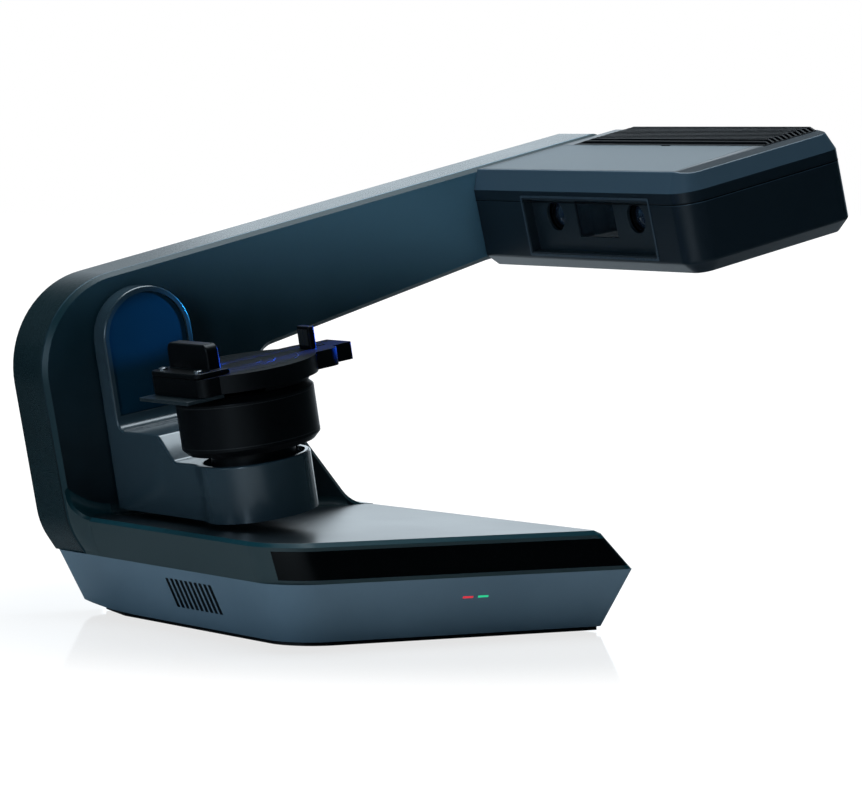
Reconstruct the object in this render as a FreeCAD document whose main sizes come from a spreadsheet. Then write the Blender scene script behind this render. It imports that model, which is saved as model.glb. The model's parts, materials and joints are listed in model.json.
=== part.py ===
import FreeCAD, Part
import math
import os
import re

import Sketcher

# Desktop 3D scanner. Lengths in millimetres, angles in degrees.
# The stand frame has x along the base, y away from the operator and z up. The face of
# the upright frame is y = 0. The head frame (u, y, v) is the stand frame turned by
# the arm's slope, and the cradle frame has its origin on the swing axis.

SIZES = {
    # base
    "foot_high": 3.2,
    "foot_pad": 2.0,
    "foot_radius": 8.0,
    "plate_gap": 0.8,
    "plate_inset": 3.0,
    "shell_high": 33.5,
    "band_high": 22.5,
    "base_front": 223.7,
    "base_left": 10.2,
    "base_right": 229.0,
    "base_slant": 12.7,
    "shell_taper": 16.4,
    "end_taper": 8.7,
    "rear_taper": 5.0,
    "heel_reach": 16.0,
    "heel_long": 70.0,
    "deck_flare": 7.2,
    "deck_end_in": 23.0,
    "shell_wall": 2.6,
    "deck_wall": 3.0,
    "corner_radius": 28.0,
    "rear_radius": 12.0,
    "tip_radius": 5.0,
    "deck_bevel": 2.4,
    "trim_thick": 1.6,
    "trim_low": 2.2,
    "trim_top": 4.4,
    "trim_back": 212.0,
    # vents and status lights
    "vent_first": 90.5,
    "vent_pitch": 5.4,
    "vent_wide": 2.3,
    "vent_low": 13.3,
    "vent_high": 17.0,
    "vent_reach": 45.0,
    "lamp_x": 129.8,
    "lamp_long": 6.8,
    "lamp_gap": 3.2,
    "lamp_z": 25.0,
    "lamp_high": 1.2,
    "lamp_deep": 9.0,
    # inside the base
    "ballast_x": 55.0,
    "ballast_y": 180.0,
    "ballast_long": 150.0,
    "ballast_wide": 120.0,
    "ballast_high": 8.0,
    "board_inset": 14.0,
    "board_thick": 1.6,
    "post_high": 6.0,
    "post_radius": 3.0,
    "chip_long": 22.0,
    "chip_high": 5.0,
    # upright frame
    "frame_thick": 42.0,
    "frame_wall": 2.6,
    "face_thick": 4.0,
    "face_bevel": 2.6,
    "rear_bevel": 2.8,
    "frame_foot_x": 11.0,
    "knee_x": 0.2,
    "knee_rise": 14.8,
    "knee_radius": 40.0,
    "back_u": 18.6,
    "back_radius": 56.0,
    "arm_top": 187.4,
    "arm_low": 130.5,
    "arm_back": 14.2,
    "arm_radius": 8.0,
    "throat_x": 115.0,
    "throat_z": 150.0,
    "throat_radius": 14.0,
    "slope_x": 192.0,
    "slope_radius": 24.0,
    "spine_inset": 12.0,
    "spine_y": 8.0,
    "spine_thick": 4.0,
    "boss_radius": 4.5,
    "screw_radius": 2.6,
    "screw_head": 1.8,
    "shank_radius": 1.5,
    "shank_long": 7.0,
    # rear sockets and power button
    "socket_z": 62.0,
    "data_x": 60.0,
    "data_wide": 12.0,
    "data_high": 10.8,
    "data_wall": 1.3,
    "socket_deep": 13.0,
    "jack_x": 86.0,
    "jack_radius": 5.0,
    "jack_bore": 3.1,
    "jack_hole_deep": 9.5,
    "button_x": 112.0,
    "button_radius": 5.0,
    "button_travel": 1.2,
    "button_stem": 2.0,
    "switch_wide": 12.0,
    "switch_deep": 8.0,
    "slide_clear": 0.1,
    # swing axis
    "pivot_x": 42.5,
    "pivot_z": 163.1,
    "swing_shaft": 8.0,
    "swing_reach": 36.0,
    "bearing_outer": 13.5,
    "bearing_long": 7.0,
    "run_clear": 0.05,
    "boss_wall": 2.6,
    "gear_teeth_count": 48,
    "pinion_teeth_count": 12,
    "tooth_module": 1.0,
    "tooth_play": 0.06,
    "gear_thick": 5.0,
    "gear_y": 15.5,
    "motor_radius": 12.6,
    "motor_long": 14.0,
    "motor_shaft": 2.4,
    "motor_bore": 9.4,
    "bracket_radius": 17.0,
    "bracket_thick": 2.0,
    "bracket_gap": 1.0,
    "bracket_post": 14.0,
    "bracket_post_radius": 2.4,
    # cradle
    "cradle_half": 29.0,
    "cradle_gap": 2.0,
    "cradle_plate": 13.0,
    "rim_wide": 3.2,
    "recess_deep": 3.0,
    "panel_thick": 1.4,
    "panel_clear": 0.2,
    "leg_low": 97.0,
    "shelf_drop": 50.3,
    "shelf_end": 62.0,
    "tray_drop": 64.6,
    "step_end": 77.0,
    "shelf_fillet": 7.0,
    "step_fillet": 4.0,
    "rim_fillet": 1.2,
    "axis_y": 117.5,
    "tray_radius": 32.0,
    "tray_blend": 40.0,
    "tray_recess": 4.0,
    "cradle_wall": 3.0,
    "cover_thick": 2.5,
    "hub_radius": 12.0,
    # turntable
    "drum_radius": 39.2,
    "drum_low": 58.5,
    "drum_high": 33.4,
    "drum_round": 3.5,
    "drum_bevel": 3.4,
    "drum_wall": 3.0,
    "drum_hub": 12.0,
    "drum_skirt": 24.0,
    "drum_skirt_high": 9.6,
    "neck_radius": 34.0,
    "neck_high": 0.6,
    "spigot_radius": 8.0,
    "spigot_high": 4.5,
    "table_shaft": 6.0,
    "table_bearing": 11.0,
    "table_bearing_long": 7.0,
    "table_gear_low": 80.0,
    "table_gear_thick": 4.0,
    "table_motor_radius": 12.0,
    "table_motor_shaft": 2.0,
    # fixture
    "fixture_radius": 43.0,
    "fixture_half": 30.0,
    "fixture_corner": 7.0,
    "fixture_thick": 10.0,
    "fixture_lift": 2.8,
    "fixture_boss": 18.0,
    "bar_half": 21.0,
    "bar_end": 54.0,
    "handle_end": 67.0,
    "handle_front": 11.0,
    "handle_back": 16.0,
    "handle_edge": 1.0,
    "post_at": 45.0,
    "post_thick": 4.0,
    "post_wide": 13.0,
    "post_tall": 12.7,
    "slot_wide": 3.0,
    "slot_long": 9.0,
    "slot_deep": 2.0,
    "jaw_at": 28.5,
    "jaw_thick": 8.0,
    "jaw_wide": 45.0,
    "jaw_tall": 17.2,
    "jaw_corner": 4.5,
    "jaw_edge": 1.2,
    "jaw_lift": 0.3,
    "carriage_out": 43.5,
    "carriage_in": 22.0,
    "carriage_half": 27.0,
    "carriage_high": 2.8,
    "jaw_out": 8.0,
    "jaw_in": 9.0,
    "stem_thick": 4.0,
    "stem_wide": 10.0,
    "tab_out": 52.0,
    "tab_in": 28.0,
    "tab_half": 27.5,
    "tab_thick": 2.0,
    # head
    "head_front": 326.0,
    "head_end": 441.5,
    "head_right": 221.0,
    "head_low": 126.2,
    "head_seam": 168.2,
    "head_rise": 6.5,
    "head_top": 186.4,
    "head_cap_in": 5.2,
    "head_bevel": 7.5,
    "head_round": 16.0,
    "head_round_far": 10.0,
    "head_wall": 2.6,
    "head_floor": 3.0,
    "ridge_start": 207.0,
    "ridge_fall": 2.8,
    "panel_front": 333.0,
    "panel_far": 394.0,
    "panel_left": 4.0,
    "panel_right": 198.0,
    "panel_right_front": 205.0,
    "panel_deep": 1.2,
    "grille_front": 396.0,
    "grille_far": 434.8,
    "grille_left": 12.0,
    "grille_right": 208.0,
    "grille_ledge": 1.6,
    "grille_deep": 3.0,
    "grille_rise": 2.2,
    "grille_lean": 5.0,
    "grille_lean_left": 11.0,
    "grille_brow": 6.0,
    "rib_count": 12,
    "rib_thick": 1.3,
    "latch_long": 9.5,
    "latch_deep": 2.2,
    # window and optics
    "window_left": 51.0,
    "window_right": 183.0,
    "window_low": 135.8,
    "window_top": 171.0,
    "window_deep": 6.0,
    "bezel_wall": 1.4,
    "bezel_back": 2.0,
    "bezel_clear": 0.1,
    "lens_left": 75.6,
    "lens_right": 159.3,
    "lens_v": 158.2,
    "hole_radius": 8.9,
    "projector_mid": 117.5,
    "projector_half": 19.8,
    "projector_low": 146.0,
    "projector_high": 22.6,
    "pane_thick": 1.2,
    "barrel_radius": 8.6,
    "barrel_wall": 1.6,
    "barrel_gap": 1.0,
    "barrel_long": 14.0,
    "glass_thick": 2.5,
    "bench_thick": 4.0,
    "bench_end": 14.0,
    "bench_low": 137.0,
    "bench_high": 29.0,
    "camera_size": 24.0,
    "camera_deep": 9.0,
    "beam_half": 17.0,
    "beam_low": 144.0,
    "beam_high": 21.0,
    "beam_long": 46.0,
    "beam_lens": 9.0,
    "beam_lens_long": 5.0,
    "fan_half": 20.0,
    "fan_low": 163.5,
    "fan_thick": 10.0,
    "fan_bore": 18.5,
    "fan_rotor": 17.8,
    "fan_hub": 7.5,
    "fan_pin": 1.5,
    "fan_base": 1.4,
    "blade_count": 7,
    "blade_thick": 1.4,
    "head_board_in": 24.0,
    "head_board_lift": 2.5,
    # rest pose and shared cut allowance
    "head_tilt_angle": 13.9,
    "swing_rest_angle": 10.2,
    "pinion_place_angle": -60.0,
    "bracket_place_angle": 60.0,
    "overrun": 1.0,
}

# places along the frame and in the base, as shares of the outline's own sizes
vent_count = 10
foot_x_share = (0.14, 0.86)
foot_y_share = (0.12, 0.88)
post_share = (0.08, 0.92)
chip_share = ((0.2, 0.3), (0.6, 0.65))
spine_reach_share = 2.4
back_screw_share = (0.3, 0.62, 0.94)
arm_mid_share = 0.55
neck_screw_share = (0.18, 0.82)
flank_steps = 4
heel_shares = (0, 0.25, 0.5, 0.75, 1)
plate_heel_share = 0.65
pressure_angle = 20.0
dedendum_share = 1.25
places_kept = 3

doc = FreeCAD.newDocument("desktop_scanner")
sheet = doc.addObject("Spreadsheet::Sheet", "Sizes")
for row, (name, value) in enumerate(SIZES.items(), 1):
    cell = "A%d" % row
    sheet.set(cell, repr(value))
    sheet.setAlias(cell, name)
doc.recompute()

WORD = re.compile(r"[a-z_]+")


def bound(text):
    """Return an expression with every named size read from the sheet."""
    return WORD.sub(lambda m: "Sizes." + m.group() if m.group() in SIZES else m.group(), text)


def num(text):
    """Return the value of an expression of named sizes."""
    return float(sheet.evalExpression(text))


def plus(*parts):
    """Return the sum of expressions."""
    return "(" + " + ".join("(%s)" % part for part in parts) + ")"


def minus(first, *parts):
    """Return the first expression less the others."""
    return "(" + " - ".join("(%s)" % part for part in (first,) + parts) + ")"


def neg(part):
    """Return the negative of an expression."""
    return "(0 - (%s))" % part


def arm(u, v):
    """Return the stand-frame x and z of a point of the sloping arm."""
    x = "((%s)*cos(head_tilt_angle) - (%s)*sin(head_tilt_angle))" % (u, v)
    z = "((%s)*sin(head_tilt_angle) + (%s)*cos(head_tilt_angle))" % (u, v)
    return x, z


def rect(x_low, y_low, x_high, y_high):
    """Return the corners of a rectangle."""
    return [(x_low, y_low), (x_high, y_low), (x_high, y_high), (x_low, y_high)]


def circle(x, y, radius):
    """Return a circle as centre and radius."""
    return ("circle", x, y, radius)


def soft_rect(x_low, y_low, x_high, y_high, radii):
    """Return a rectangle whose corners have their own radii, or None where sharp."""
    return ("soft", (x_low, y_low, x_high, y_high), radii)


def around(radius, angle):
    """Return the offset, as two expressions, at a radius and an angle."""
    return "((%s)*cos(%s))" % (radius, angle), "((%s)*sin(%s))" % (radius, angle)


PIECES = []


class Piece:
    """One sub-part: a body whose sketches and features read the sheet."""

    def __init__(self, label, frame="stand"):
        self.body = doc.addObject("PartDesign::Body", label)
        self.body.Label = label
        self.label = label
        self.frame = frame
        self.steps = 0
        PIECES.append(self)

    def plane(self, role):
        for feature in self.body.Origin.OriginFeatures:
            if feature.Role == role:
                return feature
        raise ValueError(role)

    def fix(self, drawn, index, place, x, y):
        for kind, text in (("DistanceX", x), ("DistanceY", y)):
            k = drawn.addConstraint(Sketcher.Constraint(kind, -1, 1, index, place, num(text)))
            drawn.setExpression("Constraints[%d]" % k, bound(text))

    def line(self, drawn, start, end):
        first = FreeCAD.Vector(num(start[0]), num(start[1]), 0)
        last = FreeCAD.Vector(num(end[0]), num(end[1]), 0)
        index = drawn.addGeometry(Part.LineSegment(first, last), False)
        self.fix(drawn, index, 1, *start)
        return index

    def draw_polygon(self, drawn, points):
        made = [self.line(drawn, points[i], points[(i + 1) % len(points)]) for i in range(len(points))]
        for i, index in enumerate(made):
            drawn.addConstraint(
                Sketcher.Constraint("Coincident", index, 2, made[(i + 1) % len(made)], 1),
            )

    def draw_circle(self, drawn, x, y, radius):
        centre = FreeCAD.Vector(num(x), num(y), 0)
        made = Part.Circle(centre, FreeCAD.Vector(0, 0, 1), num(radius))
        index = drawn.addGeometry(made, False)
        self.fix(drawn, index, 3, x, y)
        k = drawn.addConstraint(Sketcher.Constraint("Radius", index, num(radius)))
        drawn.setExpression("Constraints[%d]" % k, bound(radius))

    def draw_soft(self, drawn, limits, radii):
        x_low, y_low, x_high, y_high = limits
        corners = (
            (x_low, y_low, 1, 1),
            (x_high, y_low, -1, 1),
            (x_high, y_high, -1, -1),
            (x_low, y_high, 1, -1),
        )
        stops = []
        for i, ((x, y, right, up), radius) in enumerate(zip(corners, radii)):
            if radius is None:
                stops.append(((x, y), (x, y), None))
                continue
            side = plus(x, radius) if right > 0 else minus(x, radius)
            rise = plus(y, radius) if up > 0 else minus(y, radius)
            flat, upright = (side, y), (x, rise)
            first, last = (upright, flat) if i % 2 == 0 else (flat, upright)
            stops.append((first, last, (side, rise)))
        made = []
        for i, (first, last, centre) in enumerate(stops):
            if centre is not None:
                middle = FreeCAD.Vector(num(centre[0]), num(centre[1]), 0)
                a = FreeCAD.Vector(num(first[0]), num(first[1]), 0) - middle
                b = FreeCAD.Vector(num(last[0]), num(last[1]), 0) - middle
                turn = Part.Circle(middle, FreeCAD.Vector(0, 0, 1), a.Length)
                start, end = math.atan2(a.y, a.x), math.atan2(b.y, b.x)
                arc = drawn.addGeometry(Part.ArcOfCircle(turn, start, end), False)
                self.fix(drawn, arc, 3, *centre)
                made.append((arc, 1, 2))
            made.append((self.line(drawn, last, stops[(i + 1) % len(stops)][0]), 1, 2))
        for i, (index, _, end) in enumerate(made):
            following, start, _ = made[(i + 1) % len(made)]
            drawn.addConstraint(Sketcher.Constraint("Coincident", index, end, following, start))

    def sketch(self, role, loops, offset="0"):
        self.steps += 1
        drawn = self.body.newObject("Sketcher::SketchObject", "%s_sketch%d" % (self.label, self.steps))
        drawn.AttachmentSupport = [(self.plane(role), "")]
        drawn.MapMode = "FlatFace"
        drawn.setExpression("AttachmentOffset.Base.z", bound(offset))
        for loop in loops:
            if isinstance(loop, list):
                self.draw_polygon(drawn, loop)
            elif loop[0] == "circle":
                self.draw_circle(drawn, *loop[1:])
            else:
                self.draw_soft(drawn, *loop[1:])
        return drawn

    def extrude(self, kind, role, loops, low, high):
        """Pad or pocket loops of a plane between two places on its axis."""
        flip = role == "XZ_Plane"
        drawn = self.sketch(role, loops, neg(high) if flip else low)
        before = self.volume()
        made = self.body.newObject(
            "PartDesign::" + kind,
            "%s_%s%d" % (self.label, kind.lower(), self.steps),
        )
        made.Profile = drawn
        made.Reversed = kind == "Pocket"
        made.setExpression("Length", bound(minus(high, low)))
        doc.recompute()
        after = self.volume()
        if (kind == "Pad") != (after > before) or after == before:
            raise ValueError("%s %s changed nothing" % (self.label, made.Name))
        return self

    def volume(self):
        shape = self.body.Shape
        return 0 if shape.isNull() else shape.Volume

    def pad(self, role, loops, low, high):
        return self.extrude("Pad", role, loops, low, high)

    def cut(self, role, loops, low, high):
        return self.extrude("Pocket", role, loops, low, high)

    def loft(self, kind, first, low, second, high):
        """Add or cut a ruled loft between two loops at two heights."""
        base = self.sketch("XY_Plane", [first], low)
        top = self.sketch("XY_Plane", [second], high)
        before = self.volume()
        made = self.body.newObject("PartDesign::" + kind, "%s_loft%d" % (self.label, self.steps))
        made.Profile = base
        made.Sections = [top]
        made.Ruled = True
        doc.recompute()
        if self.volume() == before:
            raise ValueError("%s %s changed nothing" % (self.label, made.Name))
        return self

    def lean_cut(self, loops, back, front, lean_x, lean_y):
        """Pocket loops of the x-z plane along a direction that leans off the y axis."""
        drawn = self.sketch("XZ_Plane", loops, neg(back))
        before = self.volume()
        made = self.body.newObject("PartDesign::Pocket", "%s_lean%d" % (self.label, self.steps))
        made.Profile = drawn
        made.UseCustomVector = True
        made.Direction = FreeCAD.Vector(num(lean_x), num(lean_y), 0)
        made.setExpression("Direction.x", bound(lean_x))
        made.setExpression("Direction.y", bound(lean_y))
        made.setExpression("Length", bound(minus(back, front)))
        doc.recompute()
        if self.volume() >= before:
            raise ValueError("%s %s changed nothing" % (self.label, made.Name))
        return self

    def subtract(self, tool):
        """Cut another piece's body out of this one and drop it from the parts."""
        PIECES.remove(tool)
        before = self.volume()
        made = self.body.newObject("PartDesign::Boolean", self.label + "_less_" + tool.label)
        made.Type = "Cut"
        made.setObjects([tool.body])
        self.body.Tip = made
        doc.recompute()
        if self.volume() >= before:
            raise ValueError("%s %s changed nothing" % (self.label, made.Name))
        return self

    def edge_names(self, points):
        shape = self.body.Shape
        names = []
        for point in points:
            spot = Part.Vertex(FreeCAD.Vector(*[num(part) for part in point]))
            gaps = [(spot.distToShape(edge)[0], i) for i, edge in enumerate(shape.Edges, 1)]
            names.append("Edge%d" % min(gaps)[1])
        return names

    def dress(self, kind, names, size_name, size):
        tip = self.body.Tip
        self.steps += 1
        made = self.body.newObject(
            "PartDesign::" + kind,
            "%s_%s%d" % (self.label, kind.lower(), self.steps),
        )
        made.Base = (tip, names)
        made.setExpression(size_name, bound(size))
        doc.recompute()
        if not made.isValid() or self.body.Shape.isNull():
            raise ValueError("%s %s failed" % (self.label, made.Name))
        return self

    def fillet(self, points, radius):
        return self.dress("Fillet", self.edge_names(points), "Radius", radius)

    def chamfer(self, points, size):
        return self.dress("Chamfer", self.edge_names(points), "Size", size)

    def face_name(self, place):
        """Return the name of the largest flat face that lies across the y axis at a place."""
        found = []
        for i, face in enumerate(self.body.Shape.Faces, 1):
            if face.Surface.TypeId == "Part::GeomPlane":
                box = face.BoundBox
                off = abs(box.YMin - num(place)) + box.YLength
                found.append((round(off, places_kept), -face.Area, "Face%d" % i))
        return min(found)[2]

    def shape(self):
        return self.body.Shape


def turned(label, frame, profile):
    """Return a piece made by turning an r-z profile about the local z axis."""
    piece = Piece(label, frame)
    drawn = piece.sketch("XZ_Plane", [profile])
    made = piece.body.newObject("PartDesign::Revolution", label + "_turn")
    made.Profile = drawn
    made.ReferenceAxis = (drawn, ["V_Axis"])
    made.Angle = 360
    doc.recompute()
    return piece


def tube(label, frame, x, y, outer, inner, low, high, role="XY_Plane"):
    """Return a plain ring or disc piece."""
    loops = [circle(x, y, outer)]
    if inner:
        loops.append(circle(x, y, inner))
    return Piece(label, frame).pad(role, loops, low, high)


def involute_outline(teeth, module, play):
    """Return the corner points of a spur gear's outline, centred on the origin."""
    pitch = module * teeth / 2
    base = pitch * math.cos(math.radians(pressure_angle))
    tip = pitch + module
    root = pitch - module * dedendum_share
    swell = math.tan(math.radians(pressure_angle)) - math.radians(pressure_angle)
    half = math.pi / (2 * teeth) - play / pitch + swell
    points = []
    for tooth in range(teeth):
        middle = 2 * math.pi * tooth / teeth
        flank = []
        for step in range(flank_steps + 1):
            radius = max(base, root) + (tip - max(base, root)) * step / flank_steps
            angle = math.acos(min(1, base / radius))
            flank.append((radius, half - (math.tan(angle) - angle)))
        flank = [(root, flank[0][1])] + flank if root < base else flank
        for radius, turn in flank:
            points.append((radius, middle - turn))
        for radius, turn in reversed(flank):
            points.append((radius, middle + turn))
    return [FreeCAD.Vector(r * math.cos(a), r * math.sin(a), 0) for r, a in points]


class Cut:
    """A sub-part whose shape is made with the kernel's own functions."""

    def __init__(self, label, frame, shape):
        self.body = doc.addObject("Part::Feature", label)
        self.body.Label = label
        self.body.Shape = shape
        self.label = label
        self.frame = frame
        PIECES.append(self)


def gear_solid(teeth_name, thick, turn_share, bore):
    """Return a spur gear standing on the x-y plane, turned by a share of a tooth."""
    teeth = int(num(teeth_name))
    points = involute_outline(teeth, num("tooth_module"), num("tooth_play"))
    face = Part.Face(Part.makePolygon(points + points[:1]))
    solid = face.extrude(FreeCAD.Vector(0, 0, num(thick)))
    if bore:
        depth = num(thick) + 2 * num("overrun")
        drill = Part.makeCylinder(num(bore), depth, FreeCAD.Vector(0, 0, -num("overrun")))
        solid = solid.cut(drill)
    solid.rotate(FreeCAD.Vector(0, 0, 0), FreeCAD.Vector(0, 0, 1), turn_share * 360 / teeth)
    return solid


# heights and outlines shared by several pieces
SEAM = plus("foot_high", "shell_high")
DECK = plus(SEAM, "band_high")
FLOOR = plus("foot_high", "shell_wall")
BACK_TOP = minus("base_right", "deck_end_in")


def base_sides(inset, level):
    """Return the base's left, front, right and back planes at one height, less a wall."""
    left, front = plus("base_left", inset), neg(minus("base_front", inset))
    right, back = minus("base_right", inset), minus("frame_thick", inset)
    if level == "bottom":
        left, front = plus(left, "shell_taper"), plus(front, "shell_taper")
        right, back = minus(right, "end_taper"), minus(back, "rear_taper")
    if level == "deck":
        left, right = minus(left, "deck_flare"), minus(right, "deck_end_in")
    return left, front, right, back


def base_plan(left, front, right, back):
    """Return the base's plan, whose right side slants out towards the front."""
    nose = plus(right, "base_slant*(0 - %s)/base_front" % front)
    points = [(left, front), (nose, front), (right, "0")]
    if back != "0":
        points.append((right, back))
    return points + [(left, back)]


def hull(label, inset, low, high, levels, back=None):
    """Return a block with the base's leaning sides between two heights."""
    first, last = base_sides(inset, levels[0]), base_sides(inset, levels[1])
    if back is not None:
        first, last = first[:3] + (back,), last[:3] + (back,)
    left = min(first[0], last[0], key=num)
    right = max(first[2], last[2], key=num)
    front = min(first[1], last[1], key=num)
    rear = max(first[3], last[3], key=num)
    piece = Piece(label)
    piece.pad("XY_Plane", [base_plan(left, front, right, rear)], low, high)
    far = "base_right*2"
    edge = minus(left, "overrun")
    piece.cut(
        "XZ_Plane",
        [[(edge, low), (first[0], low), (last[0], high), (edge, high)]],
        minus(front, "overrun"),
        plus(rear, "overrun"),
    )
    section = [(far, low), (first[2], low), (last[2], high), (far, high)]
    piece.lean_cut([section], "0", minus(front, "overrun"), "base_slant", "0 - base_front")
    if num(rear) > 0:
        piece.cut("XZ_Plane", [section], "0", plus(rear, "overrun"))
    if num(first[1]) != num(last[1]):
        edge = minus(front, "overrun")
        piece.cut(
            "YZ_Plane",
            [[(edge, low), (first[1], low), (last[1], high), (edge, high)]],
            neg("base_right"),
            far,
        )
    if num(first[3]) != num(last[3]):
        edge = plus(rear, "overrun")
        piece.cut(
            "YZ_Plane",
            [[(edge, low), (first[3], low), (last[3], high), (edge, high)]],
            neg("base_right"),
            far,
        )
    return piece, first, last


def corner(first, low, last, high, which):
    """Return the middle of a leaning corner edge of a hull."""
    ends = []
    for left, front, right, back in (first, last):
        nose = plus(right, "base_slant*(0 - %s)/base_front" % front)
        places = {"left": (left, front), "tip": (nose, front), "back": (left, back), "rear": (right, back)}
        ends.append(places[which])
    (a, b), (c, d) = ends
    return "((%s + %s)/2)" % (a, c), "((%s + %s)/2)" % (b, d), "((%s + %s)/2)" % (low, high)


def heel(x, z):
    """Return the region outside the rounded rear left foot of a hull, in its back plane.

    The round is a parabola from the leaning side to the bottom. Swept to the left
    as it goes forward, it runs out on the bottom edge.
    """
    lean = "sqrt(shell_taper^2 + shell_high^2)"
    points = []
    for share in heel_shares:
        up = "(heel_reach*(1 - %s)^2/%s)" % (share, lean)
        along = "heel_reach*%s^2" % share
        points.append((plus(x, along, neg("shell_taper*" + up)), plus(z, "shell_high*" + up)))
    below = minus(z, "overrun")
    outside = minus(points[0][0], "overrun")
    return points + [(points[-1][0], below), (outside, below), (outside, points[0][1])]


# lower base shell: a tapering tray with vents, lamp slots and screw bosses
shell, bottom, seam = hull("base_lower_shell", "0", "foot_high", SEAM, ("bottom", "seam"))
shell.fillet([corner(bottom, "foot_high", seam, SEAM, "left")], "corner_radius")
shell.fillet([corner(bottom, "foot_high", seam, SEAM, "tip")], "tip_radius")
shell.fillet(
    [corner(bottom, "foot_high", seam, SEAM, which) for which in ("back", "rear")],
    "rear_radius",
)
hollow, low_in, high_in = hull(
    "base_hollow",
    "shell_wall",
    FLOOR,
    plus(SEAM, "overrun"),
    ("bottom", "seam"),
)
hollow.fillet([corner(low_in, FLOOR, high_in, SEAM, "left")], "corner_radius - shell_wall")
hollow.fillet(
    [corner(low_in, FLOOR, high_in, SEAM, which) for which in ("back", "rear")],
    "rear_radius - shell_wall",
)
rear, ahead = "frame_thick", "frame_thick - heel_long - overrun"
hollow.lean_cut([heel(low_in[0], FLOOR)], rear, ahead, neg("heel_reach"), neg("heel_long"))
shell.subtract(hollow)
shell.lean_cut([heel(bottom[0], "foot_high")], rear, ahead, neg("heel_reach"), neg("heel_long"))
vents = []
for i in range(vent_count):
    y = neg(plus("vent_first", "vent_pitch*%d" % i))
    vents.append(
        rect(minus(y, "vent_wide/2"), "vent_low", plus(y, "vent_wide/2"), plus("vent_low", "vent_high")),
    )
shell.cut("YZ_Plane", vents, neg("overrun"), "vent_reach")


def front_at(z):
    """Return the y of the lower shell's sloping front at a height."""
    return neg(minus("base_front", "shell_taper*(%s - %s)/shell_high" % (SEAM, z)))


LAMPS = (
    ("status_light_red", "lamp_x"),
    ("status_light_green", plus("lamp_x", "lamp_long", "lamp_gap")),
)
slot_floor, slot_roof = minus("lamp_z", "lamp_high/2"), plus("lamp_z", "lamp_high/2")
shell.cut(
    "XZ_Plane",
    [rect(x, slot_floor, plus(x, "lamp_long"), slot_roof) for _, x in LAMPS],
    neg("base_front"),
    neg(minus("base_front", "shell_taper", "shell_wall*2")),
)
for label, x in LAMPS:
    side = [
        (front_at(slot_floor), slot_floor),
        (plus(front_at(slot_floor), "lamp_deep"), slot_floor),
        (plus(front_at(slot_floor), "lamp_deep"), slot_roof),
        (front_at(slot_roof), slot_roof),
    ]
    Piece(label).pad("YZ_Plane", [side], x, plus(x, "lamp_long"))

# deck shell, with the gloss band let into its front
def deck_block(label, inset, low, high):
    """Return the deck's outer form, inset by a wall."""
    piece, first, last = hull(
        label,
        inset,
        low,
        high,
        ("seam", "deck"),
        neg(inset) if inset != "0" else "0",
    )
    piece.fillet([corner(first, low, last, high, "left")], minus("corner_radius", inset))
    piece.fillet([corner(first, low, last, high, "tip")], minus("tip_radius", inset))
    return piece


deck = deck_block("base_deck_body", "0", SEAM, DECK)
left_mid = (minus("base_left", "deck_flare"), neg("base_front/2"), DECK)
front_mid = ("base_right/2", neg("base_front"), DECK)
end_mid = (plus(BACK_TOP, "base_slant/2"), neg("base_front/2"), DECK)
deck.chamfer([left_mid, front_mid, end_mid], "deck_bevel")
under = deck_block("deck_hollow", "deck_wall", SEAM, minus(DECK, "deck_wall"))
deck.subtract(under)
trim = deck_block("base_front_band", "0", SEAM, DECK)
core = deck_block("band_core", "trim_thick", SEAM, DECK)
trim.subtract(core)
wide = rect(neg("base_right"), neg("base_front*2"), "base_right*2", "base_front")
trim.cut("XY_Plane", [wide], minus(SEAM, "overrun"), plus(SEAM, "trim_low"))
trim.cut("XY_Plane", [wide], minus(DECK, "trim_top"), plus(DECK, "overrun"))
rest = rect(neg("base_right"), neg("trim_back"), "base_right*2", "base_front")
trim.cut("XY_Plane", [rest], SEAM, DECK)
PIECES.remove(deck)
groove = doc.addObject("Part::Cut", "base_deck_shell")
groove.Label = "base_deck_shell"
groove.Base = deck.body
groove.Tool = trim.body
doc.recompute()


class Joined:
    """A sub-part made by a boolean of two bodies."""

    def __init__(self, label, frame, made):
        self.body = made
        self.label = label
        self.frame = frame
        PIECES.append(self)


Joined("base_deck_shell", "stand", groove)

# bottom plate, feet, ballast and electronics
left, front, right, back = base_sides("plate_inset", "bottom")
plate_loop = base_plan(left, front, right, back)[:-1]
plate_loop += [
    ("(%s + heel_reach*%s)" % (left, plate_heel_share), back),
    (left, "(%s - heel_long*%s)" % (back, plate_heel_share)),
]
plate = Piece("base_bottom_plate")
plate.pad("XY_Plane", [plate_loop], "plate_gap", "foot_high")
mid = "((plate_gap + foot_high)/2)"
plate.fillet([plate_loop[0] + (mid,)], "corner_radius - plate_inset")
plate.fillet([plate_loop[i] + (mid,) for i in (3, 4, 5)], "rear_radius - plate_inset")
FEET = []
for along in foot_x_share:
    for across in foot_y_share:
        x = "(%s + (%s - %s)*%s)" % (left, right, left, along)
        y = "(%s + (%s - %s)*%s)" % (front, back, front, across)
        FEET.append((x, y))
plate.cut("XY_Plane", [circle(x, y, "foot_radius") for x, y in FEET], "plate_gap", "foot_pad")
Piece("rubber_feet").pad("XY_Plane", [circle(x, y, "foot_radius") for x, y in FEET], "0", "foot_pad")
ballast_right = plus("ballast_x", "ballast_long")
ballast_back = plus(neg("ballast_y"), "ballast_wide")
ballast_top = plus(FLOOR, "ballast_high")
ballast = Piece("ballast_plate")
ballast.pad(
    "XY_Plane",
    [rect("ballast_x", neg("ballast_y"), ballast_right, ballast_back)],
    FLOOR,
    ballast_top,
)
board_low = plus(ballast_top, "post_high")
board_top = plus(board_low, "board_thick")
bx, by = plus("ballast_x", "board_inset"), plus(neg("ballast_y"), "board_inset")
ex, ey = minus(ballast_right, "board_inset"), minus(ballast_back, "board_inset")
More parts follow.
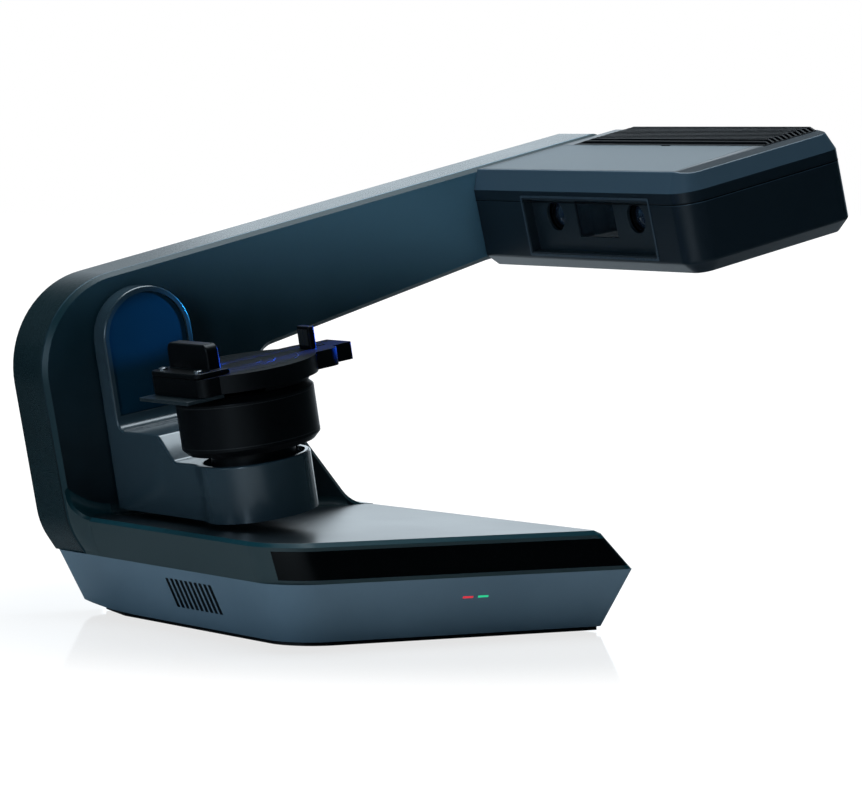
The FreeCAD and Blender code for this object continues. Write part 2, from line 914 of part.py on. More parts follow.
Piece("main_board").pad("XY_Plane", [rect(bx, by, ex, ey)], board_low, board_top)
posts = []
for along in post_share:
    for across in post_share:
        x = "(%s + (%s - %s)*%s)" % (bx, ex, bx, along)
        y = "(%s + (%s - %s)*%s)" % (by, ey, by, across)
        posts.append(circle(x, y, "post_radius"))
Piece("main_board_posts").pad("XY_Plane", posts, ballast_top, board_low)
chips = []
for along, across in chip_share:
    x = "(%s + (%s - %s)*%s)" % (bx, ex, bx, along)
    y = "(%s + (%s - %s)*%s)" % (by, ey, by, across)
    chips.append(rect(x, y, plus(x, "chip_long"), plus(y, "chip_long")))
Piece("main_board_chips").pad("XY_Plane", chips, board_top, plus(board_top, "chip_high"))

# upright C-shaped frame: face plate in front, hollow housing behind
ARM_END = "(head_end - arm_back)"
FRAME = [
    ("frame_foot_x", SEAM),
    ("knee_x", plus(SEAM, "knee_rise")),
    arm("back_u", "arm_top"),
    arm(ARM_END, "arm_top"),
    arm(ARM_END, "arm_low"),
    arm("head_front", "arm_low"),
    ("throat_x", "throat_z"),
    ("slope_x", DECK),
    (BACK_TOP, DECK),
    ("base_right", SEAM),
]


def inset_outline(points, wall):
    """Return a clockwise outline moved inwards by a wall."""
    places = [FreeCAD.Vector(num(x), num(y), 0) for x, y in points]
    moved = []
    for i, (x, y) in enumerate(points):
        ahead = places[(i + 1) % len(places)] - places[i]
        behind = places[i] - places[i - 1]
        normals = [FreeCAD.Vector(side.y, -side.x, 0).normalize() for side in (behind, ahead)]
        shift = (normals[0] + normals[1]).multiply(1 / (1 + normals[0].dot(normals[1])))
        moved.append(("(%s + (%s)*%.9f)" % (x, wall, shift.x), "(%s + (%s)*%.9f)" % (y, wall, shift.y)))
    return moved


def frame_block(label, low, high, wall="0"):
    """Return the rounded C form between two depths, less a wall all round."""
    outline = FRAME if wall == "0" else inset_outline(FRAME, wall)
    piece = Piece(label)
    piece.pad("XZ_Plane", [outline], low, high)
    half = "((%s + %s)/2)" % (low, high)

    def at(*corners):
        return [(outline[i][0], half, outline[i][1]) for i in corners]

    piece.fillet(at(1), minus("knee_radius", wall))
    piece.fillet(at(2), minus("back_radius", wall))
    piece.fillet(at(3, 4), minus("arm_radius", wall))
    piece.fillet(at(6), plus("throat_radius", wall))
    piece.fillet(at(7), "slope_radius")
    return piece


face = frame_block("frame_face", "0", "face_thick")
face.dress("Chamfer", [face.face_name("0")], "Size", "face_bevel")
face.cut(
    "XZ_Plane",
    [circle("pivot_x", "pivot_z", "hub_radius + slide_clear")],
    neg("overrun"),
    "face_thick + overrun",
)
housing = frame_block("frame_housing", "face_thick", "frame_thick")
housing.dress("Chamfer", [housing.face_name("frame_thick")], "Size", "rear_bevel")
inner_back = minus("frame_thick", "frame_wall")
housing.subtract(frame_block("frame_hollow", "face_thick - overrun", inner_back, "frame_wall"))

# places for the bosses and screws that hold the spine and the housing
ARM_MID = "(arm_low + (arm_top - arm_low)*%s)" % arm_mid_share
BOSSES = []
for along in back_screw_share:
    BOSSES.append(arm("(back_u + (%s - back_u)*%s)" % (ARM_END, along), ARM_MID))
for along in neck_screw_share:
    BOSSES.append(("(frame_foot_x + (slope_x - frame_foot_x)*%s)" % along, plus(SEAM, "knee_rise")))
spine_back = plus("spine_y", "spine_thick")
housing.pad(
    "XZ_Plane",
    [circle(x, z, "boss_radius") for x, z in BOSSES],
    spine_back,
    plus(inner_back, "overrun/2"),
)
housing.pad(
    "XZ_Plane",
    [
        circle("pivot_x", "pivot_z", "bearing_outer + boss_wall"),
        circle("pivot_x", "pivot_z", "bearing_outer"),
    ],
    minus(inner_back, "bearing_long + overrun"),
    plus(inner_back, "overrun/2"),
)
housing.cut(
    "XZ_Plane",
    [circle(x, z, "screw_radius") for x, z in BOSSES],
    minus("frame_thick", "screw_head"),
    "frame_thick + overrun",
)
housing.cut(
    "XZ_Plane",
    [circle(x, z, "shank_radius") for x, z in BOSSES],
    minus("frame_thick", "screw_head", "shank_long"),
    minus("frame_thick", "screw_head"),
)
screws = Piece("frame_screws")
screws.pad(
    "XZ_Plane",
    [circle(x, z, "screw_radius") for x, z in BOSSES],
    minus("frame_thick", "screw_head"),
    "frame_thick",
)
screws.pad(
    "XZ_Plane",
    [circle(x, z, "shank_radius") for x, z in BOSSES],
    minus("frame_thick", "screw_head", "shank_long"),
    minus("frame_thick", "screw_head"),
)

IN = "spine_inset"
SPINE = [
    (plus("frame_foot_x", IN), plus(SEAM, "deck_wall")),
    (plus("knee_x", IN), plus(SEAM, "knee_rise")),
    arm(plus("back_u", "%s*%s" % (IN, spine_reach_share)), minus("arm_top", IN)),
    arm(minus(ARM_END, IN), minus("arm_top", IN)),
    arm(minus(ARM_END, IN), plus("arm_low", IN)),
    arm("head_front", plus("arm_low", IN)),
    (minus("throat_x", IN), "throat_z"),
    (minus("slope_x", IN), DECK),
    (minus("slope_x", IN), plus(SEAM, "deck_wall")),
]
spine = Piece("inner_spine")
spine.pad("XZ_Plane", [SPINE], "spine_y", spine_back)
spine.cut(
    "XZ_Plane",
    [circle("pivot_x", "pivot_z", "bearing_outer")],
    "spine_y - overrun",
    plus(spine_back, "overrun"),
)

# rear sockets and power button, in the housing's back wall
data_low_x, data_high_x = minus("data_x", "data_wide/2"), plus("data_x", "data_wide/2")
data_low_z, data_high_z = minus("socket_z", "data_high/2"), plus("socket_z", "data_high/2")
data_loop = rect(data_low_x, data_low_z, data_high_x, data_high_z)
housing.cut("XZ_Plane", [data_loop], minus(inner_back, "overrun"), "frame_thick + overrun")
housing.cut(
    "XZ_Plane",
    [circle("jack_x", "socket_z", "jack_radius")],
    minus(inner_back, "overrun"),
    "frame_thick + overrun",
)
button_hole = circle("button_x", "socket_z", "button_radius + slide_clear")
housing.cut("XZ_Plane", [button_hole], minus(inner_back, "overrun"), "frame_thick + overrun")
data = Piece("data_socket")
data.pad("XZ_Plane", [data_loop], minus("frame_thick", "socket_deep"), "frame_thick")
data_in = rect(
    plus(data_low_x, "data_wall"), plus(data_low_z, "data_wall"),
    minus(data_high_x, "data_wall"), minus(data_high_z, "data_wall"),
)
data.cut(
    "XZ_Plane",
    [data_in],
    minus("frame_thick", "socket_deep - data_wall"),
    "frame_thick + overrun",
)
jack = Piece("power_jack")
jack.pad(
    "XZ_Plane",
    [circle("jack_x", "socket_z", "jack_radius")],
    minus("frame_thick", "socket_deep"),
    "frame_thick",
)
jack.cut(
    "XZ_Plane",
    [circle("jack_x", "socket_z", "jack_bore")],
    minus("frame_thick", "jack_hole_deep"),
    "frame_thick + overrun",
)
carrier = Piece("socket_board")
carrier_y = minus("frame_thick", "socket_deep")
carrier.pad(
    "XZ_Plane",
    [rect(minus(data_low_x, "data_wall"), minus(data_low_z, "data_wall"),
          plus("button_x", "switch_wide"), plus(data_high_z, "data_wall"))],
    minus(carrier_y, "board_thick"), carrier_y,
)
switch = Piece("power_switch")
half = "switch_wide/2"
switch.pad(
    "XZ_Plane",
    [rect(minus("button_x", half), minus("socket_z", half), plus("button_x", half), plus("socket_z", half)),
     circle("button_x", "socket_z", "button_stem + slide_clear")],
    carrier_y, plus(carrier_y, "switch_deep"),
)
button = Piece("power_button")
cap_low = plus(carrier_y, "switch_deep + button_travel + slide_clear*2")
button.pad(
    "XZ_Plane",
    [circle("button_x", "socket_z", "button_radius")],
    cap_low,
    plus("frame_thick", "button_travel"),
)
button.pad(
    "XZ_Plane",
    [circle("button_x", "socket_z", "button_stem")],
    plus(carrier_y, "button_travel + slide_clear*2"),
    cap_low,
)

# swing drive inside the frame
bearings = Piece("swing_bearings")
shaft_hole = plus("swing_shaft", "run_clear")
bearing_loops = [
    circle("pivot_x", "pivot_z", "bearing_outer"),
    circle("pivot_x", "pivot_z", shaft_hole),
]
bearings.pad("XZ_Plane", bearing_loops, minus(spine_back, "bearing_long"), spine_back)
bearings.pad("XZ_Plane", bearing_loops, minus(inner_back, "bearing_long"), inner_back)
gear_back = plus("gear_y", "gear_thick")
reach = "(tooth_module*(gear_teeth_count + pinion_teeth_count)/2)"
off_x, off_z = around(reach, "pinion_place_angle")
motor_x, motor_z = plus("pivot_x", off_x), plus("pivot_z", off_z)
bracket_low = plus(gear_back, "bracket_gap")
bracket_high = plus(bracket_low, "bracket_thick")
bracket = Piece("motor_bracket")
bracket.pad(
    "XZ_Plane",
    [circle(motor_x, motor_z, "bracket_radius"), circle(motor_x, motor_z, "motor_shaft*2")],
    bracket_low, bracket_high,
)
bracket_posts = []
for turn in (
    "pinion_place_angle - bracket_place_angle",
    "pinion_place_angle",
    "pinion_place_angle + bracket_place_angle",
):
    px, pz = around("bracket_post", turn)
    bracket_posts.append(circle(plus(motor_x, px), plus(motor_z, pz), "bracket_post_radius"))
bracket.pad("XZ_Plane", bracket_posts, spine_back, bracket_low)
motor = Piece("swing_motor")
motor.pad(
    "XZ_Plane",
    [circle(motor_x, motor_z, "motor_radius")],
    bracket_high,
    plus(bracket_high, "motor_long"),
)
motor.cut(
    "XZ_Plane",
    [circle(motor_x, motor_z, plus("motor_shaft", "run_clear"))],
    minus(bracket_high, "overrun"),
    plus(bracket_high, "motor_bore"),
)


def facing_back(solid, x, y, z):
    """Stand a solid's z axis along y and move it to its place."""
    solid.rotate(FreeCAD.Vector(0, 0, 0), FreeCAD.Vector(1, 0, 0), -90)
    solid.translate(FreeCAD.Vector(num(x), num(y), num(z)))
    return solid


swing_gear = facing_back(
    gear_solid("gear_teeth_count", "gear_thick", 0, "swing_shaft"),
    "0",
    "gear_y",
    "0",
)
Cut("swing_gear", "cradle", swing_gear)
pinion_shape = gear_solid("pinion_teeth_count", "gear_thick", 0, None)
pin_long = plus("gear_thick", "bracket_gap", "bracket_thick", "motor_long/2")
pin_shape = Part.makeCylinder(num("motor_shaft"), num(pin_long))
pinion_shape = pinion_shape.fuse(pin_shape).removeSplitter()
# a tooth gap of the pinion faces the gear: both outlines start with a tooth on their x axis
gear_turn = num("pinion_place_angle - swing_rest_angle")
gear_pitch = 360 / num("gear_teeth_count")
pinion_pitch = 360 / num("pinion_teeth_count")
gear_phase = (gear_turn / gear_pitch) % 1
pinion_face = num("pinion_place_angle") + 180
pinion_turn = pinion_face - (0.5 - gear_phase) * pinion_pitch
pinion_shape.rotate(FreeCAD.Vector(0, 0, 0), FreeCAD.Vector(0, 0, 1), -pinion_turn)
Cut("swing_pinion", "stand", facing_back(pinion_shape, motor_x, "gear_y", motor_z))

# cradle: arched plate, shelf and round tray, in the cradle's own frame
PLATE_BACK = neg("cradle_gap")
PLATE_FRONT = neg(plus("cradle_gap", "cradle_plate"))
LOW = neg("leg_low")
HALF = "cradle_half"
AXIS = neg("axis_y")
cradle = Piece("cradle_shell", "cradle")
cradle.pad("XZ_Plane", [circle("0", "0", HALF)], PLATE_FRONT, PLATE_BACK)
cradle.pad("XZ_Plane", [rect(neg(HALF), LOW, HALF, "0")], PLATE_FRONT, PLATE_BACK)
profile = [
    (PLATE_FRONT, LOW), (PLATE_FRONT, neg("shelf_drop")), (neg("shelf_end"), neg("shelf_drop")),
    (neg("step_end"), neg("tray_drop")), (AXIS, neg("tray_drop")), (AXIS, LOW),
]
cradle.pad("YZ_Plane", [profile], neg(HALF), HALF)
cradle.pad("XY_Plane", [circle("0", AXIS, "tray_radius")], LOW, neg("tray_drop"))
notch = neg(minus("axis_y", "sqrt(tray_radius^2 - cradle_half^2)"))
tray_mid = neg("(leg_low + tray_drop)/2")
cradle.fillet([(neg(HALF), notch, tray_mid), (HALF, notch, tray_mid)], "tray_blend")
cradle.fillet(
    [("0", neg("shelf_end"), neg("shelf_drop")), ("0", neg("step_end"), neg("tray_drop"))],
    "step_fillet",
)
cradle.fillet([("0", PLATE_FRONT, neg("shelf_drop"))], "shelf_fillet")
# cavities for the drive, open below, and the shallow dish under the drum
WALL = "cradle_wall"
inside = minus(HALF, WALL)
cavity_end = neg("shelf_end - cradle_wall")
leg_cavity = rect(neg(inside), cavity_end, inside, minus(PLATE_FRONT, WALL))
cradle.cut("XY_Plane", [leg_cavity], LOW, minus(neg("shelf_drop"), WALL))
dish_low = neg(plus("tray_drop", "tray_recess"))
roof = minus(dish_low, "cradle_wall")
cradle.cut("XY_Plane", [rect(neg(inside), AXIS, inside, plus(cavity_end, "overrun"))], LOW, roof)
cradle.cut("XY_Plane", [circle("0", AXIS, "tray_radius - cradle_wall")], LOW, roof)
cradle.cut(
    "XY_Plane",
    [circle("0", AXIS, "tray_radius - cradle_wall")],
    dish_low,
    neg("tray_drop - overrun"),
)
cradle.cut(
    "XY_Plane",
    [circle("0", AXIS, "table_bearing")],
    minus(roof, "overrun"),
    plus(dish_low, "overrun"),
)
# recess for the face panel, and the edge that catches the light round it
arch_in = minus(HALF, "rim_wide")
recess_y = plus(PLATE_FRONT, "recess_deep")
recess_low = neg("shelf_drop - shelf_fillet - overrun")
cradle.cut("XZ_Plane", [circle("0", "0", arch_in)], minus(PLATE_FRONT, "overrun"), recess_y)
cradle.cut(
    "XZ_Plane",
    [rect(neg(arch_in), recess_low, arch_in, "0")],
    minus(PLATE_FRONT, "overrun"),
    recess_y,
)
rims = [
    ("0", PLATE_FRONT, HALF),
    (neg(HALF), PLATE_FRONT, neg("shelf_drop/2")),
    (HALF, PLATE_FRONT, neg("shelf_drop/2")),
]
cradle.fillet(rims, "rim_fillet")
panel = Piece("cradle_face_panel", "cradle")
panel_half = minus(arch_in, "panel_clear")
panel.pad("XZ_Plane", [circle("0", "0", panel_half)], minus(recess_y, "panel_thick"), recess_y)
panel.pad(
    "XZ_Plane",
    [rect(neg(panel_half), plus(recess_low, "panel_clear"), panel_half, "0")],
    minus(recess_y, "panel_thick"),
    recess_y,
)
cover = Piece("cradle_bottom_cover", "cradle")
cover_half = minus(inside, "panel_clear")
cover.pad(
    "XY_Plane",
    [rect(neg(cover_half), AXIS, cover_half, minus(PLATE_FRONT, WALL, "panel_clear"))],
    LOW,
    plus(LOW, "cover_thick"),
)
cover.pad(
    "XY_Plane",
    [circle("0", AXIS, "tray_radius - cradle_wall - panel_clear")],
    LOW,
    plus(LOW, "cover_thick"),
)
shaft = Piece("swing_shaft", "cradle")
shaft.pad("XZ_Plane", [circle("0", "0", "hub_radius")], PLATE_BACK, "face_thick")
shaft.pad("XZ_Plane", [circle("0", "0", "swing_shaft")], "face_thick", "swing_reach")

# turntable drive, in the cradle frame
bearing_low = minus(roof, "table_bearing_long - cradle_wall")
tube(
    "table_bearing",
    "cradle",
    "0",
    AXIS,
    "table_bearing",
    plus("table_shaft", "run_clear"),
    bearing_low,
    plus(bearing_low, "table_bearing_long"),
)
gear_low = neg("table_gear_low")
table_gear = gear_solid("gear_teeth_count", "table_gear_thick", 0, "table_shaft")
table_gear.translate(FreeCAD.Vector(0, num(AXIS), num(gear_low)))
Cut("table_gear", "cradle", table_gear)
motor_y = plus(AXIS, reach)
table_pinion = gear_solid("pinion_teeth_count", "table_gear_thick", 0, None)
motor_top = minus(gear_low, "bracket_gap")
motor_floor = plus(LOW, "cover_thick")
stub_long = "((%s - %s)/2)" % (motor_top, motor_floor)
stub = Part.makeCylinder(
    num("table_motor_shaft"),
    num(plus(stub_long, "bracket_gap")),
    FreeCAD.Vector(0, 0, -num(plus(stub_long, "bracket_gap"))),
)
table_pinion = table_pinion.fuse(stub).removeSplitter()
quarter = 90 / gear_pitch % 1
table_pinion.rotate(
    FreeCAD.Vector(0, 0, 0),
    FreeCAD.Vector(0, 0, 1),
    270 + (0.5 + quarter) * pinion_pitch,
)
table_pinion.translate(FreeCAD.Vector(0, num(motor_y), num(gear_low)))
Cut("table_pinion", "cradle", table_pinion)
table_motor = Piece("table_motor", "cradle")
table_motor.pad("XY_Plane", [circle("0", motor_y, "table_motor_radius")], motor_floor, motor_top)
table_motor.cut(
    "XY_Plane",
    [circle("0", motor_y, plus("table_motor_shaft", "run_clear"))],
    plus(motor_floor, "overrun"),
    plus(motor_top, "overrun"),
)

# turntable: hollow drum with a bevelled top, a neck and a locating spigot
d_low, d_top = neg("drum_low"), neg("drum_low - drum_high")
neck_top = plus(d_top, "neck_high")
skirt_low = minus(d_low, "drum_skirt_high")
drum_profile = [
    ("0", skirt_low), ("drum_skirt", skirt_low), ("drum_skirt", d_low),
    ("drum_radius - drum_round", d_low), ("drum_radius", plus(d_low, "drum_round")),
    ("drum_radius", minus(d_top, "drum_bevel")), ("drum_radius - drum_bevel", d_top),
    ("neck_radius", d_top), ("neck_radius", neck_top), ("spigot_radius", neck_top),
    ("spigot_radius", plus(neck_top, "spigot_high")), ("0", plus(neck_top, "spigot_high")),
]
drum = turned("turntable_drum", "table", drum_profile)
cavity_loops = [circle("0", "0", "drum_skirt - drum_wall"), circle("0", "0", "drum_hub")]
drum.cut("XY_Plane", cavity_loops, minus(skirt_low, "overrun"), minus(d_top, "drum_wall"))
shaft_low = minus(gear_low, "cradle_wall")
tube("turntable_shaft", "table", "0", "0", "table_shaft", None, shaft_low, skirt_low)

# fixture that sits on the turntable: base plate, fixed post, sliding jaw
f_low = neck_top
f_base = plus(f_low, "fixture_lift")
f_top = plus(f_base, "fixture_thick")
fixture = Piece("fixture_base", "table")
fixture.pad("XY_Plane", [circle("0", "0", "fixture_radius")], f_base, f_top)
left_edge = neg("fixture_radius")
corners = ("fixture_corner", None, None, "fixture_corner")
fixture.pad(
    "XY_Plane",
    [soft_rect(left_edge, neg("fixture_half"), "0", "fixture_half", corners)],
    f_base,
    f_top,
)
fixture.pad(
    "XY_Plane",
    [
        soft_rect(
            "0",
            neg("bar_half"),
            "bar_end",
            "bar_half",
            (None, "fixture_corner", "fixture_corner", None),
        ),
    ],
    f_base,
    f_top,
)
fixture.pad(
    "XY_Plane",
    [rect("bar_end - fixture_corner", neg("handle_front"), "handle_end", "handle_back")],
    f_base,
    f_top,
)
fixture.pad("XY_Plane", [circle("0", "0", "fixture_boss")], f_low, f_base)
handle_mid = "((%s + %s)/2)" % (f_base, f_top)
fixture.fillet(
    [("handle_end", neg("handle_front"), handle_mid), ("handle_end", "handle_back", handle_mid)],
    "handle_edge",
)
socket_radius = plus("spigot_radius", "run_clear")
fixture.cut(
    "XY_Plane",
    [circle("0", "0", socket_radius)],
    minus(f_low, "overrun"),
    plus(neck_top, "spigot_high + overrun"),
)
slot_front, slot_back = neg("stem_wide/2 + slide_clear"), "(stem_wide/2 + slide_clear)"
slot_left = neg(plus("jaw_at", "stem_thick/2", "jaw_out", "jaw_lift"))
slot_right = neg(minus("jaw_at", "stem_thick/2", "jaw_in", "jaw_lift"))
fixture.cut(
    "XY_Plane",
    [rect(slot_left, slot_front, slot_right, slot_back)],
    minus(f_base, "overrun"),
    plus(f_top, "overrun"),
)
post_left, post_right = "(post_at - post_thick/2)", "(post_at + post_thick/2)"
groove_loop = rect(post_right, neg("slot_wide/2"), plus(post_right, "slot_long"), "slot_wide/2")
fixture.cut("XY_Plane", [groove_loop], minus(f_top, "slot_deep"), plus(f_top, "overrun"))
post = Piece("fixture_post", "table")
post.pad(
    "XY_Plane",
    [rect(post_left, neg("post_wide/2"), post_right, "post_wide/2")],
    f_top,
    plus(f_top, "post_tall"),
)
post.fillet(
    [
        (post_left, neg("post_wide/2"), plus(f_top, "post_tall/2")),
        (post_right, neg("post_wide/2"), plus(f_top, "post_tall/2")),
    ],
    "handle_edge",
)
jaw = Piece("fixture_jaw", "table")
jaw_left, jaw_right = neg("jaw_at + jaw_thick/2"), neg("jaw_at - jaw_thick/2")
jaw_low = plus(f_top, "jaw_lift")
jaw_high = plus(jaw_low, "jaw_tall")
jaw.pad(
    "YZ_Plane",
    [
        soft_rect(
            neg("jaw_wide/2"),
            jaw_low,
            "jaw_wide/2",
            jaw_high,
            (None, None, "jaw_corner", "jaw_corner"),
        ),
    ],
    jaw_left,
    jaw_right,
)
jaw.fillet([(jaw_left, "0", jaw_high), (jaw_right, "0", jaw_high)], "jaw_edge")
tab_low = plus(f_low, "jaw_lift")
tab_top = plus(tab_low, "tab_thick")
carriage = soft_rect(
    neg("carriage_out"), neg("carriage_half"), neg("carriage_in"), "carriage_half",
    ("jaw_corner", None, None, "jaw_corner"),
)
jaw.pad("XY_Plane", [carriage], jaw_low, plus(jaw_low, "carriage_high"))
stem = rect(
    neg("jaw_at + stem_thick/2"),
    neg("stem_wide/2"),
    neg("jaw_at - stem_thick/2"),
    "stem_wide/2",
)
jaw.pad("XY_Plane", [stem], tab_top, jaw_low)
tab = Piece("fixture_pull_tab", "table")
tab.pad(
    "XY_Plane",
    [
        soft_rect(
            neg("tab_out"),
            neg("tab_half"),
            neg("tab_in"),
            "tab_half",
            ("jaw_edge", None, None, "jaw_edge"),
        ),
    ],
    tab_low,
    tab_top,
)

# head: lower housing, window, top cover, light panel and louvres
RIGHT = neg("head_right")
CAP = plus("head_seam", "head_rise")


def head_loop(inset, cap="0"):
    """Return the head's plan, inset by a wall, with its two rounded outer corners."""
    near = minus("head_round", inset, cap)
    far = minus("head_round_far", inset, cap)
    limits = (
        plus("head_front", inset, cap),
        plus(RIGHT, inset, cap),
        minus("head_end", inset, cap),
        neg(inset),
    )
    return soft_rect(*limits, (near, far, None, None))


HEAD_MID_Y = neg("head_right/2")
HEAD_MID_U = "((head_front + head_end)/2)"
pan = Piece("head_lower_housing", "head")
pan.pad("XY_Plane", [head_loop("0")], "head_low", "head_seam")
pan.chamfer([("head_front", HEAD_MID_Y, "head_low")], "head_bevel")
pan.cut("XY_Plane", [head_loop("head_wall")], plus("head_low", "head_bevel"), "head_seam + overrun")
deep = plus("head_bevel", "head_wall")
pan.cut(
    "XY_Plane",
    [rect(plus("head_front", deep), plus(RIGHT, deep), minus("head_end", deep), neg("head_wall"))],
    plus("head_low", "head_floor"),
    plus("head_low", "head_bevel", "overrun/2"),
)
window_loop = rect(neg("window_right"), "window_low", neg("window_left"), "window_top")
pan.cut("YZ_Plane", [window_loop], "head_front - overrun", plus("head_front", "head_wall*2"))
cap = Piece("head_top_cover", "head")
cap.pad("XY_Plane", [head_loop("0")], "head_seam", CAP)
cap.loft("AdditiveLoft", head_loop("0"), CAP, head_loop("0", "head_cap_in"), "head_top")
ridge = [
    (neg("ridge_start"), "head_top"),
    (RIGHT, "head_top - ridge_fall"),
    (minus(RIGHT, "overrun"), "head_top - ridge_fall"),
    (minus(RIGHT, "overrun"), "head_top + overrun"),
    (neg("ridge_start"), "head_top + overrun"),
]
cap.cut("YZ_Plane", [ridge], "head_front - overrun", "head_end + overrun")
cap.cut("XY_Plane", [head_loop("head_wall")], "head_seam - overrun", CAP)
cap.cut(
    "XY_Plane",
    [head_loop("head_wall", "head_cap_in")],
    minus(CAP, "overrun/2"),
    "head_top - ridge_fall - head_wall/2",
)
cap.cut("YZ_Plane", [window_loop], "head_front - overrun", plus("head_front", "head_wall*2"))
panel_loop = [
    ("panel_front", neg("panel_right_front")), ("panel_far", neg("panel_right")),
    ("panel_far", neg("panel_left")), ("panel_front", neg("panel_left")),
]
cap.cut("XY_Plane", [panel_loop], "head_top - panel_deep", "head_top + overrun")
grille_loop = rect("grille_front", neg("grille_right"), "grille_far", neg("grille_left"))
ledge = rect(
    "grille_front + grille_ledge",
    neg("grille_right - grille_ledge"),
    "grille_far - grille_ledge",
    neg("grille_left + grille_ledge"),
)
grille_low = "(head_top - grille_deep)"
cap.cut("XY_Plane", [grille_loop], grille_low, "head_top + overrun")
cap.cut("XY_Plane", [ledge], "head_seam", "head_top + overrun")
latch_y = neg("head_right/2")
latch_loop = rect(
    "grille_front - latch_deep",
    minus(latch_y, "latch_long/2"),
    "grille_front + bezel_clear",
    plus(latch_y, "latch_long/2"),
)
cap.cut("XY_Plane", [latch_loop], "head_top - panel_deep", "head_top + overrun")
light = Piece("head_top_panel", "head")
light_loop = [
    ("panel_front + bezel_clear", neg("panel_right_front - bezel_clear")), (
        "panel_far - bezel_clear",
        neg("panel_right - bezel_clear"),
    ),
    ("panel_far - bezel_clear", neg("panel_left + bezel_clear")), (
        "panel_front + bezel_clear",
        neg("panel_left + bezel_clear"),
    ),
]
light.pad("XY_Plane", [light_loop], "head_top - panel_deep", "head_top")
grille = Piece("head_grille", "head")
grille_top = "(head_top + grille_rise)"
g_front, g_far = "(grille_front + bezel_clear)", "(grille_far - bezel_clear)"
g_left, g_right = neg("grille_left + bezel_clear"), neg("grille_right - bezel_clear")
pitch = "((%s - %s - rib_thick)/(rib_count - 1))" % (g_far, g_front)
grille_section = [
    (g_right, grille_low), (g_left, grille_low), (g_left, "head_top"),
    (minus(g_left, "grille_lean_left"), grille_top), (plus(g_right, "grille_lean"), grille_top),
    (g_right, "head_top"),
]
grille.pad("YZ_Plane", [grille_section], g_front, g_far)
before_front = minus(g_front, "overrun")
brow = [
    (before_front, "head_top"), (g_front, "head_top"), (plus(g_front, "grille_brow"), grille_top),
    (plus(g_front, "grille_brow"), plus(grille_top, "overrun")), (
        before_front,
        plus(grille_top, "overrun"),
    ),
]
grille.cut("XZ_Plane", [brow], minus(g_right, "overrun"), plus(g_left, "overrun"))
gaps = []
for i in range(int(num("rib_count")) - 1):
    low_u = plus(g_front, "rib_thick", "%s*%d" % (pitch, i))
    gaps.append(
        rect(
            low_u,
            plus(g_right, "grille_ledge"),
            minus(plus(low_u, pitch), "rib_thick"),
            minus(g_left, "grille_ledge"),
        ),
    )
grille.cut("XY_Plane", gaps, minus(grille_low, "overrun"), plus(grille_top, "overrun"))
combs = []
for i in range(int(num("rib_count")) - 1):
    low_u = plus(g_front, "rib_thick", "%s*%d" % (pitch, i))
    combs.append(
        rect(
            low_u,
            minus(g_right, "overrun"),
            minus(plus(low_u, pitch), "rib_thick"),
            plus(g_right, "grille_ledge + overrun"),
        ),
    )
grille.cut("XY_Plane", combs, "head_top", plus(grille_top, "overrun"))

# window bezel and the optics behind it
bezel = Piece("window_bezel", "head")
w_right, w_left = neg("window_right - bezel_clear"), neg("window_left + bezel_clear")
w_low, w_top = "(window_low + bezel_clear)", "(window_top - bezel_clear)"
bezel_rear = "(head_front + window_deep + bezel_back)"
bezel.pad("YZ_Plane", [rect(w_right, w_low, w_left, w_top)], "head_front", bezel_rear)
bezel_in = rect(
    plus(w_right, "bezel_wall"),
    plus(w_low, "bezel_wall"),
    minus(w_left, "bezel_wall"),
    minus(w_top, "bezel_wall"),
)
bezel.cut("YZ_Plane", [bezel_in], "head_front - overrun", "head_front + window_deep")
LENSES = (neg("lens_left"), neg("lens_right"))
beam_right, beam_left = neg("projector_mid + projector_half"), neg("projector_mid - projector_half")
holes = [circle(y, "lens_v", "hole_radius") for y in LENSES]
holes.append(rect(beam_right, "projector_low", beam_left, "projector_low + projector_high"))
bezel.cut("YZ_Plane", holes, "head_front + window_deep - overrun", plus(bezel_rear, "overrun"))
pane = Piece("projector_window", "head")
pane_in, pane_out = minus(bezel_rear, "pane_thick"), bezel_rear
clear = "bezel_clear"
pane.pad(
    "YZ_Plane",
    [
        rect(
            plus(beam_right, clear),
            "projector_low + bezel_clear",
            minus(beam_left, clear),
            "projector_low + projector_high - bezel_clear",
        ),
    ],
    pane_in,
    pane_out,
)
barrel_in = plus(bezel_rear, "barrel_gap")
bench_in = plus(barrel_in, "barrel_long")
bench_out = plus(bench_in, "bench_thick")
bench = Piece("optics_bench", "head")
bench_right, bench_left = neg("lens_right + bench_end"), neg("lens_left - bench_end")
bench.pad(
    "YZ_Plane",
    [rect(bench_right, "bench_low", bench_left, "bench_low + bench_high")],
    bench_in,
    bench_out,
)
beam_y_low, beam_y_high = neg("projector_mid + beam_half"), neg("projector_mid - beam_half")
beam_loop = rect(beam_y_low, "beam_low", beam_y_high, "beam_low + beam_high")
bench.cut("YZ_Plane", [beam_loop], minus(bench_in, "overrun"), plus(bench_out, "overrun"))
floor_top = plus("head_low", "head_floor")
foot_loop = rect(bench_in, bench_right, plus(bench_out, "bench_thick"), bench_left)
bench.pad("XY_Plane", [foot_loop], floor_top, "bench_low")
for label, y in (("camera_left", LENSES[0]), ("camera_right", LENSES[1])):
    camera = Piece(label, "head")
    camera.pad(
        "YZ_Plane",
        [circle(y, "lens_v", "barrel_radius"), circle(y, "lens_v", "barrel_radius - barrel_wall")],
        barrel_in,
        bench_in,
    )
    low_v = minus("bench_low + bench_high", "camera_size")
    camera.pad(
        "YZ_Plane",
        [rect(minus(y, "camera_size/2"), low_v, plus(y, "camera_size/2"), "bench_low + bench_high")],
        minus(bench_in, "bench_thick"),
        bench_in,
    )
lenses = Piece("camera_lenses", "head")
glass_radius = "(barrel_radius - barrel_wall)"
